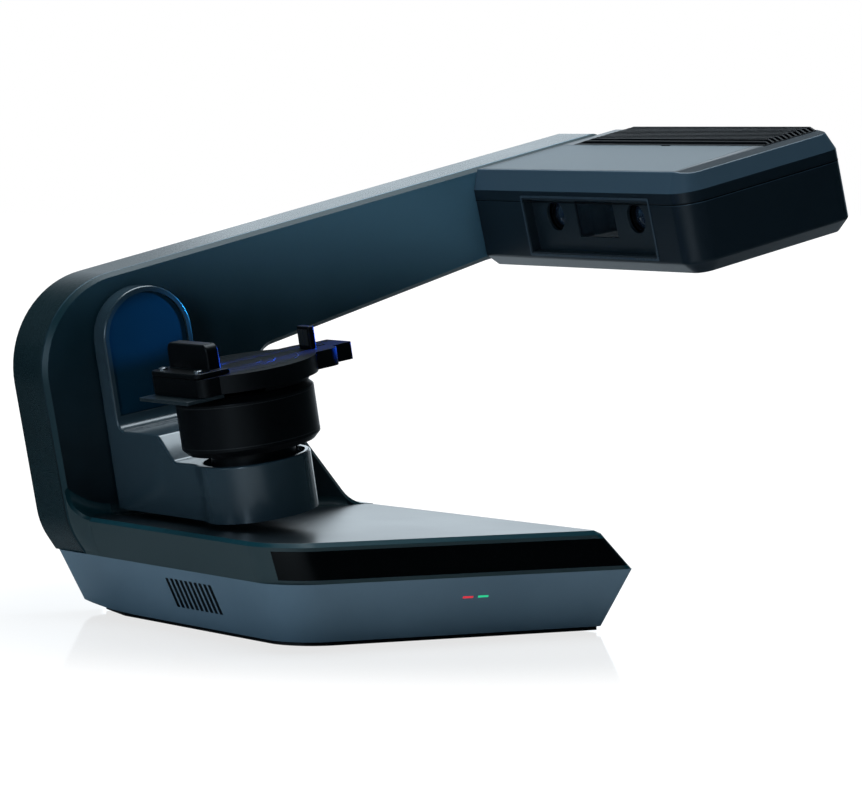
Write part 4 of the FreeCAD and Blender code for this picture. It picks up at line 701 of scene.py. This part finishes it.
def prism_mesh(
    outline: np.ndarray, low: float, high: float, place: Matrix, hole: np.ndarray | None = None
) -> bpy.types.Mesh:
    """Raise an outline between two heights, in millimetres.

    Args:
        outline: the outer points, as a list by 2.
        low: the lower height.
        high: the upper height.
        place: the matrix from the outline's axes to the row frame.
        hole: the inner points of a frame, as many as the outer ones.

    Returns:
        The closed mesh.
    """

    def level(points: np.ndarray, height: float) -> np.ndarray:
        """Return the points at one height."""
        return np.column_stack([points, np.full(len(points), height)])

    rows = [level(outline, low), level(outline, high)]
    if hole is not None:
        rows += [level(hole, high), level(hole, low)]
    return grid_mesh(np.stack(rows), place, hole is not None)


def soft_outline(
    x: Sequence[float], y: Sequence[float], radii: Sequence[float], steps: int = 10
) -> np.ndarray:
    """Return a rectangle's outline with a radius at each corner.

    Args:
        x: its lower and upper x.
        y: its lower and upper y.
        radii: the corners' radii, from the lower left one round.
        steps: the points of each corner.

    Returns:
        The points, as a list by 2.
    """
    corners = ((x[0], y[0], 1, 1), (x[1], y[0], -1, 1), (x[1], y[1], -1, -1), (x[0], y[1], 1, -1))
    turns = []
    for k, ((cx, cy, right, up), radius) in enumerate(zip(corners, radii)):
        angle = np.linspace(math.pi, 1.5 * math.pi, steps) + k * math.pi / 2
        turns.append(np.column_stack([
            cx + right * radius + radius * np.cos(angle), cy + up * radius + radius * np.sin(angle)
        ]))
    return np.concatenate(turns)


def joined(name: str, meshes: Sequence[bpy.types.Mesh], angle: float = 40) -> bpy.types.Object:
    """Put several closed meshes into one smooth-shaded piece."""
    work = bmesh.new()
    for mesh in meshes:
        work.from_mesh(mesh)
    whole = bpy.data.meshes.new(name)
    work.to_mesh(whole)
    work.free()
    for mesh in meshes:
        bpy.data.meshes.remove(mesh)
    return smooth(add_object(name, whole), angle)


def smooth(piece: bpy.types.Object, angle: float) -> bpy.types.Object:
    """Shade a piece smooth, with its sharper edges kept."""
    piece.data.shade_smooth()
    piece.data.set_sharp_from_angle(angle=math.radians(angle))
    return piece


class ShellMaker:
    """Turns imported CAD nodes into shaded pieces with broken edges.

    Places closer than the merge distance, in metres, become one. Faces that turn
    less than the flat angle become one, and edges that turn more than the sharp
    angle are rounded over. Both angles are in degrees.
    """

    merge: ClassVar[float] = 2e-6
    flat: ClassVar[float] = 0.6
    sharp: ClassVar[float] = 28.0
    weight: ClassVar[int] = 90

    def __init__(self, palette: Palette) -> None:
        """Keep the palette that pieces are dressed from."""
        self.palette = palette
        self.slots = {part["node"]: part["material_slot"] for part in frame["record"]["subparts"]}
        self.bodies = {
            node: body
            for body, nodes in frame["record"]["behaviour"]["bodies"].items()
            for node in nodes
        }
        self.done: set[str] = set()

    def dressed(
        self, node: str, finish: str, edge: Edge = Edge.MOULDED, segments: int = 2
    ) -> bpy.types.Object:
        """Make a piece from a node's merged mesh, with its edges rounded over.

        Args:
            node: the CAD node that the piece stands for.
            finish: the finish's name.
            edge: how softly the edges are broken.
            segments: the bevel's segments.

        Returns:
            The piece, riding on the node's body in the node's place.
        """
        mesh = frame["nodes"][node].data.copy()
        work = bmesh.new()
        work.from_mesh(mesh)
        bmesh.ops.remove_doubles(work, verts=work.verts, dist=self.merge)
        bmesh.ops.dissolve_limit(
            work, angle_limit=math.radians(self.flat), verts=work.verts, edges=work.edges
        )
        work.to_mesh(mesh)
        work.free()
        piece = add_object(node + "_shell", mesh)
        smooth(piece, self.sharp)
        bevel = piece.modifiers.new("broken_edges", "BEVEL")
        bevel.width = edge.value
        bevel.segments = segments
        bevel.limit_method = "ANGLE"
        bevel.angle_limit = math.radians(self.sharp)
        bevel.use_clamp_overlap = True
        bevel.harden_normals = False
        weight = piece.modifiers.new("flat_faces", "WEIGHTED_NORMAL")
        weight.keep_sharp = True
        weight.weight = self.weight
        self.settle(piece, finish, self.bodies[node], self.slots[node])
        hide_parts(node)
        self.done.add(node)
        log.info("%s stands for %s", piece.name, node)
        return piece

    def kept(self, node: str, finish: str) -> bpy.types.Object:
        """Dress a CAD node that keeps its own mesh."""
        self.done.add(node)
        log.info("%s is dressed as %s", node, finish)
        return self.palette.dress(frame["nodes"][node], finish)

    def settle(self, piece: bpy.types.Object, finish: str, body: str, slot: str) -> bpy.types.Object:
        """Dress a piece and let it ride on its body.

        Args:
            piece: the piece, in its place.
            finish: the finish's name.
            body: the body's name.
            slot: the record's material slot; not used.

        Returns:
            The piece.
        """
        self.palette.dress(piece, finish)
        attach(piece, body)
        return piece


@dataclass
class ShellUnit:
    """A sub-assembly that comes from CAD nodes alone.

    Shells are made anew with broken edges. The kept nodes hold their own meshes,
    and are listed by finish.
    """

    maker: ShellMaker
    shells: ClassVar[dict[str, tuple]] = {}
    kept: ClassVar[dict[str, str]] = {}

    def build(self) -> None:
        """Dress the unit's nodes."""
        for node, look in self.shells.items():
            self.maker.dressed(node, *look)
        for finish, nodes in self.kept.items():
            for node in nodes.split():
                self.maker.kept(node, finish)


@dataclass
class BaseUnit(ShellUnit):
    """The hollow base: shells, gloss band, feet, lamps and what is inside."""

    shells = {
        "base_lower_shell": ("base_slate", Edge.CRISP),
        "base_deck_shell": ("deck_slate", Edge.SOFT),
        "base_front_band": ("gloss_band", Edge.CRISP),
        "base_bottom_plate": ("black_plastic",),
        "rubber_feet": ("rubber",),
    }
    kept = {
        "steel": "ballast_plate main_board_posts",
        "board": "main_board",
        "chip_black": "main_board_chips",
        "lamp_red": "status_light_red",
        "lamp_green": "status_light_green",
    }


@dataclass
class FrameUnit(ShellUnit):
    """The C-shaped upright frame with the swing drive and the rear sockets."""

    shells = {
        "frame_face": ("frame_slate", Edge.CRISP),
        "frame_housing": ("housing_slate",),
        "frame_screws": ("steel", Edge.CRISP),
        "data_socket": ("steel", Edge.CRISP),
        "power_jack": ("black_plastic", Edge.CRISP),
        "power_button": ("black_plastic", Edge.CRISP),
    }
    kept = {
        "aluminium": "inner_spine motor_bracket",
        "board": "socket_board",
        "black_plastic": "power_switch",
        "steel": "swing_bearings swing_motor swing_pinion swing_gear",
    }


@dataclass
class CradleUnit(ShellUnit):
    """The swinging cradle, its turntable and the clamp on it."""

    shells = {
        "cradle_shell": ("cradle_slate", Edge.ROUND, 3),
        "cradle_face_panel": ("navy_panel", Edge.CRISP),
        "cradle_bottom_cover": ("black_plastic", Edge.CRISP),
        "turntable_drum": ("black_metal",),
        "fixture_base": ("black_metal",),
        "fixture_post": ("black_metal",),
        "fixture_jaw": ("black_metal",),
        "fixture_pull_tab": ("tab_metal", Edge.CRISP),
        "swing_shaft": ("steel", Edge.CRISP),
    }
    kept = {
        "steel": "table_bearing table_motor table_pinion turntable_shaft",
        "nylon": "table_gear",
    }


@dataclass
class HeadUnit(ShellUnit):
    """The tilted head: housings, louvres, window, cameras and projector."""

    shells = {
        "head_lower_housing": ("head_slate", Edge.SOFT, 3),
        "head_top_cover": ("head_slate", Edge.SOFT, 3),
        "head_top_panel": ("light_panel", Edge.CRISP),
        "head_grille": ("grille_black", Edge.CRISP, 1),
        "window_bezel": ("bezel_slate", Edge.CRISP),
    }
    kept = {
        "window_glass": "projector_window",
        "lens_glass": "camera_lenses projector_lens",
        "aluminium": "optics_bench projector_legs",
        "black_plastic": "camera_left camera_right projector_body fan_frame fan_rotor",
        "board": "camera_boards head_board",
        "steel": "fan_posts head_board_posts",
    }


@dataclass
class DetailUnit:
    """Small parts that the CAD leaves plain: lenses, screws, sockets, pads, seams and coves.

    Lengths are in millimetres, in the axes of the stand, the head or the turntable.
    """

    maker: ShellMaker
    deck: float = 59.2  # height of the deck
    seam: float = 36.7  # height of the joint between the base's shells
    wall: float = 10.2  # x of the base's left wall at that joint
    axis: float = -117.5  # y of the turntable's and the projector's axis
    disc: float = -11.7  # height of the clamp's disc over the swing axis
    back: float = 42.0  # y of the frame's back
    ports: float = 62.0  # height of the sockets at the back
    cove_radius: float = 6.2
    inside: float = 24.0  # x where the foot's curve has become the cove's

    @staticmethod
    def at(home: Matrix, spot: Sequence[float], axis: Sequence[float] = (0, 0, 1)) -> Matrix:
        """Return the matrix of a spot whose local z lies along an axis."""
        turn = Vector((0, 0, 1)).rotation_difference(Vector(axis)).to_matrix().to_4x4()
        return home @ Matrix.Translation(Vector(spot) * MM) @ turn

    def table(self) -> Matrix:
        """Return the matrix from turntable places to the row frame."""
        return STAND.cradle() @ Matrix.Translation((0, self.axis * MM, 0))

    def add(
        self, name: str, meshes: Sequence[bpy.types.Mesh], finish: str, like: str, angle: float = 40
    ) -> None:
        """Join meshes into a piece that is carried as a CAD node is.

        Args:
            name: the piece's name.
            meshes: the closed meshes.
            finish: the finish's name.
            like: the CAD node whose body the piece takes.
            angle: the angle in degrees from which an edge is kept sharp.
        """
        piece = joined(name, meshes, angle)
        self.maker.settle(piece, finish, self.maker.bodies[like], self.maker.slots[like])

    def lenses(self) -> None:
        """Dome the camera and projector lenses: height falls with the square of the radius."""
        share = np.linspace(0, 1, 9)[::-1]
        knurl = [(8.3, 0), (8.3, 1.0), (7.9, 1.3), (7.2, 1.3), (6.8, 0.7), (6.8, 0)]
        collar = [(8.8, 0), (8.8, 0.7), (7.6, 0.7), (7.4, 0)]
        for dome, glass, ring, mount, spot, (radius, rise), section in (
            ("lens_dome_left", "camera_lenses", "lens_ring_left", "camera_left",
             (336.6, -75.6, 158.2), (6.8, 1.5), knurl),
            ("lens_dome_right", "camera_lenses", "lens_ring_right", "camera_right",
             (336.6, -159.3, 158.2), (6.8, 1.5), knurl),
            ("projector_dome", "projector_lens", "projector_ring", "projector_body",
             (335.0, self.axis, 155.7), (7.4, 0.75), collar),
        ):
            front = self.at(STAND.head(), spot, (-1, 0, 0))
            curve = [(0, 0)] + [(radius * r, rise * (1 - r * r)) for r in share]
            self.add(dome, [turned_mesh(curve, front)], "lens_glass", glass)
            self.add(ring, [turned_mesh(section, front, True)], "black_metal", mount)

    def window_lip(self) -> None:
        """Frame the head's window with a thin raised lip, in a lighter slate as a painted highlight."""
        side = Matrix(((0, 0, 1, 0), (1, 0, 0, 0), (0, 1, 0, 0), (0, 0, 0, 1)))
        outer = soft_outline((-183.9, -50.1), (134.9, 171.9), (1.4,) * 4)
        inner = soft_outline((-182.5, -51.5), (136.2, 170.6), (0.6,) * 4)
        lip = prism_mesh(outer, 325.7, 326.3, STAND.head() @ side, inner)
        self.add("window_lip", [lip], "lip_highlight_slate", "window_bezel")

    def head_seam(self) -> None:
        """Draw the dark joint line between the head's two housings."""
        radii = (16.0, 10.0, 0.4, 0.4)
        outer = soft_outline((325.94, 441.56), (-221.06, 0.02), radii)
        inner = soft_outline((327.0, 440.5), (-220.0, -1.0), [max(r - 1, 0.2) for r in radii])
        joint = prism_mesh(outer, 167.75, 168.45, STAND.head(), inner)
        self.add("head_joint", [joint], "black_plastic", "head_lower_housing")

    def vent_shade_slats(self) -> None:
        """Seat a dark insert in each vent slot as painted shade inside the slot, with a thin rim that
        leans as the wall does.
        """
        home = STAND.base() @ Matrix(((1, 0, 0, 0), (0, 0, -1, 0), (0, 1, 0, 0), (0, 0, 0, 1)))
        lean = 16.4 / 33.5
        first, pitch, count = 90.5, 5.4, 10
        half_wide, proud, deep = 1.6, 0.08, 1.6
        wall = np.array([(self.wall + lean * (self.seam - z), z) for z in (13.45, 30.15)])
        outline = np.concatenate([wall - (proud, 0), wall[::-1] + (deep, 0)])
        slats = [
            prism_mesh(outline, middle - half_wide, middle + half_wide, home)
            for middle in first + pitch * np.arange(count)
        ]
        # The black inserts stand in for the shade inside the slots.
        self.add("vent_shade_slats", slats, "black_plastic", "base_lower_shell", 20)

    def cove(self) -> None:
        """Fill the corner between the frame's face and the deck with a hollow curve.

        Each row is a section across the corner: a quarter circle whose radius
        fades at the far end, closed behind the face and under the deck.
        """
        rows, far, fade = 60, 188.0, 12.0
        x = np.linspace(self.inside, 186.0, rows)
        end = np.clip((far - x) / fade, 0.02, 1.0)
        radius = self.cove_radius * np.sqrt(1 - (1 - end) ** 2)
        turn = np.linspace(0, math.pi / 2, 13)
        y = -radius[:, None] * (1 - np.sin(turn))
        z = self.deck + radius[:, None] * (1 - np.cos(turn))
        back = np.full((rows, 1), 1.0)
        y = np.concatenate([y, back, back, -radius[:, None]], 1)
        z = np.concatenate([z, z[:, -1:], back * (self.deck - 1.0), back * (self.deck - 1.0)], 1)
        points = np.stack([np.repeat(x[:, None], y.shape[1], 1), y, z], -1)
        self.add("frame_cove", [grid_mesh(points, STAND.base())], "housing_slate", "frame_face")

    def foot(self) -> None:
        """Blend the frame's left side into the deck's, with a hollow curve on top.

        The side's x goes from the frame's outline to the deck's leaning side as y
        goes forward. The curve's radius is widest at the side and falls to that of
        the cove further in, so the top is a quarter circle in each section.
        """
        rows, low, widest = 25, self.seam + 0.1, 16.0
        inner_x, core_x, sunk = 26.0, 13.0, 1.4
        share = np.linspace(0, 1, rows)
        y = -widest * share[:, None]
        inner = np.linspace(0, 1, 16)
        radius = self.cove_radius + (widest - self.cove_radius) * (1 - inner) ** 2
        rise = radius - np.sqrt(np.maximum(radius ** 2 - np.maximum(radius + y, 0) ** 2, 0))
        crest = self.deck + rise - 0.25 * (y + radius < 0)
        level = np.linspace(0, 1, 15)
        z = low + (crest[:, :1] - 1.6 - low) * level
        outline_z = np.array([36.7, 44.4, 47.5, 51.0, 55.5, 60.1, 90.0])
        outline_x = np.array([11.0, 5.4, 3.35, 1.5, -0.3, -1.53, -7.55])
        frame_x = np.interp(z, outline_z, outline_x) + 0.05
        deck_x = self.wall - 7.2 * np.minimum((z - self.seam) / 22.5, 1.0) - 0.05
        ease = (share * share * (3 - 2 * share))[:, None]
        side_x = frame_x + (deck_x - frame_x) * ease
        edge_x = side_x[:, -1:] + 1.9
        crest_x = edge_x + (inner_x - edge_x) * inner
        under = np.full((rows, 1), self.deck - sunk)
        ends = np.repeat([[inner_x, core_x, core_x]], rows, 0)
        x = np.concatenate([side_x, crest_x, ends], 1)
        z = np.concatenate([z, crest, under, under, np.full((rows, 1), low)], 1)
        points = np.stack([x, np.repeat(y, x.shape[1], 1), z], -1)
        self.add("frame_foot", [grid_mesh(points, STAND.base())], "foot_slate", "frame_face", 35)

    def clamp(self) -> None:
        """Add the jaw's pads and screws, the disc's rings and the skirt below it."""
        table, top = self.table(), self.disc
        heads = [
            keyed_mesh(2.6, 1.3, 1.25, self.at(table, (-38.0, y, top + 3.1 + 1.2)))
            for y in (-20.0, 20.0)
        ]
        self.add("jaw_screws", heads, "steel", "fixture_jaw", 30)
        half, pitch, jaw_x, post_x = 18.0, 3.0, -24.5, 43.0
        wave = np.linspace(-half, half, 145)
        ribs = np.column_stack([0.55 + 0.25 * np.cos(wave * 2 * math.pi / pitch), wave])
        outline = np.concatenate([ribs, [(-0.02, half), (-0.02, -half)]]) + (jaw_x, 0)
        pad = prism_mesh(outline, top + 4.0, top + 14.5, table)
        self.add("jaw_pad", [pad], "rubber", "fixture_jaw", 30)
        narrow = ribs[np.abs(wave) < 5.3] * (-1, 1)
        ends = [(0.02, narrow[-1, 1]), (0.02, narrow[0, 1])]
        outline = np.concatenate([narrow, ends]) + (post_x, 0)
        pad = prism_mesh(outline, top + 2.0, top + 11.0, table)
        self.add("post_pad", [pad], "rubber", "fixture_post", 30)
        arc = self.arc(2.36, 110)
        rings = []
        for radius in (12.0, 20.0, 33.0):
            outline = np.concatenate([arc * (radius + 0.3), arc[::-1] * (radius - 0.3)])
            rings.append(prism_mesh(outline, top - 0.1, top + 0.12, table))
        self.add("disc_rings", rings, "tab_metal", "fixture_base", 30)
        arc = self.arc(1.75, 60)
        outline = np.concatenate([arc * 37.5, arc[::-1] * 34.5])
        skirt = prism_mesh(outline, top - 12.75, top - 10.02, table)
        self.add("disc_skirt", [skirt], "black_metal", "fixture_base", 30)

    @staticmethod
    def arc(reach: float, steps: int) -> np.ndarray:
        """Return the points of a unit arc about the x axis, by its half angle in radians."""
        turn = np.linspace(-reach, reach, steps)
        return np.column_stack([np.cos(turn), np.sin(turn)])

    def drum_lines(self) -> None:
        """Add two joint lines round the drum."""
        section = [(39.0, 0.0), (39.28, 0.1), (39.28, 0.5), (39.0, 0.6)]
        rings = [
            turned_mesh(section, self.at(self.table(), (0, 0, z)), True, 160)
            for z in (-53.5, -30.2)
        ]
        self.add("drum_lines", rings, "chip_black", "turntable_drum", 30)

    def rear(self) -> None:
        """Fit the screws, the data socket's tongue, the jack's pin and the button's ring."""
        home, out = STAND.base(), (0, 1, 0)
        across, along = math.cos(STAND.slope), math.sin(STAND.slope)
        arm_start, arm_long, arm_low, arm_high = 18.6, 427.3 - 18.6, 130.5, 187.4
        middle = arm_low + (arm_high - arm_low) * 0.55
        spots = []
        for share in (0.3, 0.62, 0.94):
            u = arm_start + arm_long * share
            spots.append((u * across - middle * along, u * along + middle * across))
        spots += [(11.0 + 181.0 * share, self.seam + 14.8) for share in (0.18, 0.82)]
        heads = [
            keyed_mesh(2.5, 1.6, 1.25, self.at(home, (x, self.back, z), out))
            for x, z in spots
        ]
        self.add("rear_screw_heads", heads, "steel", "frame_screws", 30)
        socket = self.at(home, (60.0, 30.2, self.ports), out)
        outline = soft_outline((-2.9, 2.9), (-1.9, 1.9), (0.4,) * 4, 4)
        tongue = prism_mesh(outline, 0.0, 8.6, socket)
        self.add("data_tongue", [tongue], "nylon", "data_socket", 30)
        outlines = [
            soft_outline((x - 0.5, x + 0.5), (z - 0.15, z + 0.15), (0.1,) * 4, 3)
            for z in (-2.0, 2.0)
            for x in (-1.5, 1.5)
        ]
        strips = [prism_mesh(outline, 0.6, 7.6, socket) for outline in outlines]
        self.add("data_contacts", strips, "brass", "data_socket", 30)
        pin = [(0, 0), (1.0, 0), (1.0, 7.6), (0.6, 8.2), (0, 8.3)]
        jack = self.at(home, (86.0, 32.4, self.ports), out)
        self.add("jack_pin", [turned_mesh(pin, jack, steps=32)], "steel", "power_jack")
        ring = [(5.35, -0.1), (5.35, 0.35), (5.6, 0.5), (6.3, 0.5), (6.6, 0.3), (6.6, -0.1)]
        button = self.at(home, (112.0, self.back, self.ports), out)
        self.add("button_ring", [turned_mesh(ring, button, True)], "steel", "frame_housing")

    def build(self) -> None:
        """Add every detail."""
        for step in (
            self.lenses, self.window_lip, self.head_seam, self.vent_shade_slats, self.cove,
            self.foot, self.clamp, self.drum_lines, self.rear,
        ):
            step()


@dataclass
class Studio:
    """White floor, soft lights and the camera of the photograph."""

    eye: Spot = (-1.221, -2.3255, 0.2707)
    bearing: Spot = (0.5418, 0.8388, -0.0533)
    roll: float = math.radians(0.53)
    lens: float = 189.87
    shift: tuple[float, float] = (-0.05777, -0.00336)
    projector: Spot = (0.330, -0.1175, 0.157)

    def camera(self) -> None:
        """Set the camera at the photograph's place, level apart from a slight roll."""
        ahead = Vector(self.bearing).normalized()
        right = Vector((ahead.y, -ahead.x, 0.0)).normalized()
        above = right.cross(ahead)
        turn_right = right * math.cos(self.roll) + above * math.sin(self.roll)
        turn_up = above * math.cos(self.roll) - right * math.sin(self.roll)
        rows = Matrix((turn_right, turn_up, -ahead)).transposed().to_4x4()
        data = bpy.data.cameras.new("photo_camera")
        data.sensor_width = 36.0
        data.sensor_fit = "HORIZONTAL"
        data.lens = self.lens
        data.shift_x, data.shift_y = self.shift
        data.clip_end = 60.0
        camera = bpy.data.objects.new("photo_camera", data)
        bpy.context.scene.collection.objects.link(camera)
        camera.matrix_world = Matrix.Translation(Vector(self.eye) + STAND.shift) @ rows
        bpy.context.scene.camera = camera

    @staticmethod
    def hang(data: bpy.types.Light, place: Vector, aim: Vector) -> bpy.types.Object:
        """Put a light in its place, turned to what it aims at."""
        light = bpy.data.objects.new(data.name, data)
        bpy.context.scene.collection.objects.link(light)
        light.location = place
        light.rotation_euler = (aim - place).to_track_quat("-Z", "Y").to_euler()
        return light

    def lamp(
        self, name: str, place: Sequence[float], aim: Sequence[float], size: Sequence[float],
        watts: float, colour: Colour,
    ) -> None:
        """Add a soft area light.

        Args:
            name: the light's name.
            place: where it stands, in metres.
            aim: the point that it faces.
            size: its width and height.
            watts: its power.
            colour: its linear colour.
        """
        data = bpy.data.lights.new(name, "AREA")
        data.shape = "RECTANGLE"
        data.size, data.size_y = size
        data.energy, data.color = watts, colour
        self.hang(data, Vector(place), Vector(aim)).visible_camera = False

    def beam(self, name: str, aim: Sequence[float], cone: float, watts: float, colour: Colour) -> None:
        """Let the projector throw blue light, as it does at work.

        Args:
            name: the light's name.
            aim: the place that it aims at, in the cradle's axes.
            cone: its full angle in degrees.
            watts: its power.
            colour: its linear colour.
        """
        data = bpy.data.lights.new(name, "SPOT")
        data.energy, data.color = watts, colour
        data.spot_size, data.spot_blend = math.radians(cone), 0.35
        data.shadow_soft_size = 0.006
        self.hang(data, STAND.head() @ Vector(self.projector), STAND.cradle() @ Vector(aim))

    def floor(self) -> None:
        """Lay the white floor.

        Near the scanner the floor is lit, so it keeps the shadow and a faint
        reflection. With distance it fades to plain white for the camera, and to
        dark for all other rays, as a table in a dim room. The scanner's own
        reflections see it dark at the front too, but for a lit spot at the left.
        """
        b = NodeBench("floor_white")
        x, y, _ = b.parts()
        away = (x * x + y * y) ** 0.5
        seen = b.node("ShaderNodeLightPath", {}, {}, "Is Camera Ray")
        mirrored = b.node("ShaderNodeLightPath", {}, {}, "Is Glossy Ray")
        bright = (1.0, 1.0, 1.0, 1.0)
        matt = b.node("ShaderNodeBsdfDiffuse", {}, {"Color": (0.9, 0.905, 0.91, 1.0)})
        mirror = b.node("ShaderNodeBsdfAnisotropic", {}, {"Color": bright, "Roughness": 0.07})
        white = b.node("ShaderNodeEmission", {}, {"Color": bright, "Strength": 1.11})
        dark = b.node("ShaderNodeBsdfDiffuse", {}, {"Color": (0.01, 0.02, 0.024, 1.0)})
        shiny = b.mix(0.58, matt, mirror)
        fade = 0.68 + away.ramp(0.22, 0.44) * 0.32
        near = b.mix(fade, shiny, white)
        front = 1.0 - (x + y).ramp(0.2, 0.6)
        left, ahead = x + 0.43, y + 0.33
        spot = 1.0 - ((left * left + ahead * ahead) ** 0.5).ramp(0.12, 0.32)
        dimming = away.ramp(0.42, 0.95).most(mirrored * front * (0.78 + away.ramp(0.2, 0.4) * 0.2))
        dimming = dimming * (1.0 - spot * mirrored * 0.7)
        far = b.mix(dimming, matt, dark)
        shader = b.mix(seen, far, near)
        b.node("ShaderNodeOutputMaterial", {}, {"Surface": shader})
        mesh = bpy.data.meshes.new("floor")
        reach = 14.0
        corners = [(-reach, -reach, 0), (reach, -reach, 0), (reach, reach, 0), (-reach, reach, 0)]
        mesh.from_pydata(corners, [], [(0, 1, 2, 3)])
        mesh.materials.append(b.material)
        add_object("floor", mesh)

    def world(self) -> None:
        """Light the world dimly, with a pale wall behind the scanner.

        The wall is a lobe of directions about the camera's bearing, brightest a
        little above the horizon. The camera sees plain white.
        """
        bpy.context.scene.world = bpy.data.worlds.new("studio")
        b = NodeBench("studio", bpy.context.scene.world)
        away = b.node("ShaderNodeTexCoord", {}, {}, "Generated")
        ahead = tuple(Vector(self.bearing).normalized())
        facing = b.node("ShaderNodeVectorMath", {"operation": "DOT_PRODUCT"}, {0: away, 1: ahead}, "Value")
        seen = b.node("ShaderNodeLightPath", {}, {}, "Is Camera Ray")
        dim = b.node("ShaderNodeBackground", {}, {"Color": (0.25, 0.62, 0.80, 1.0), "Strength": 0.045})
        wall = b.node("ShaderNodeBackground", {}, {"Color": (0.80, 0.91, 1.0, 1.0), "Strength": 0.75})
        white = b.node("ShaderNodeBackground", {}, {"Color": (1.0, 1.0, 1.0, 1.0), "Strength": 1.0})
        room = b.mix(facing.ramp(0.74, 0.95), dim, wall)
        shader = b.mix(seen, room, white)
        b.node("ShaderNodeOutputWorld", {}, {"Surface": shader})

    def build(self) -> None:
        """Set the stage."""
        bpy.context.scene.view_settings.view_transform = "Standard"
        self.camera()
        self.floor()
        self.world()
        cool, blue = (0.80, 0.92, 1.0), (0.62, 0.82, 1.0)
        for lamp in (
            ("top_softbox", (0.15, 0.35, 1.9), (0, 0, 0.1), (1.5, 1.5), 34.0, cool),
            ("back_right", (0.95, 1.35, 0.42), (0.0, 0.0, 0.2), (0.8, 0.9), 2.4, cool),
            ("back_left", (-0.75, 1.25, 0.62), (0.1, 0.0, 0.25), (0.7, 0.5), 0.06, (0.60, 0.85, 1.0)),
            ("left_strip", (-1.9, -1.05, 0.42), (0, 0, 0.15), (0.34, 0.8), 6.5, blue),
            ("left_glow", (-1.9, 0.25, 0.25), (0, 0, 0.15), (0.4, 0.5), 2.6, blue),
        ):
            self.lamp(*lamp)
        self.beam("clamp_beam", (0.046, -0.121, -0.005), 10.5, 40.0, (0.004, 0.09, 1.0))
        self.beam("panel_beam", (0.003, -0.012, 0.006), 8.5, 3.6, (0.02, 0.40, 1.0))


def main() -> None:
    """Build the scanner and its studio in order."""
    logging.basicConfig(level=logging.INFO, format="%(name)s: %(message)s")
    maker = ShellMaker(Palette())
    for unit in (BaseUnit, FrameUnit, CradleUnit, HeadUnit, DetailUnit):
        unit(maker).build()
    left = sorted(set(frame["nodes"]) - maker.done)
    if left:
        raise ValueError("nodes without a finish: %s" % ", ".join(left))
    Studio().build()
    bpy.context.view_layer.update()


if __name__ == "__main__":
    main()
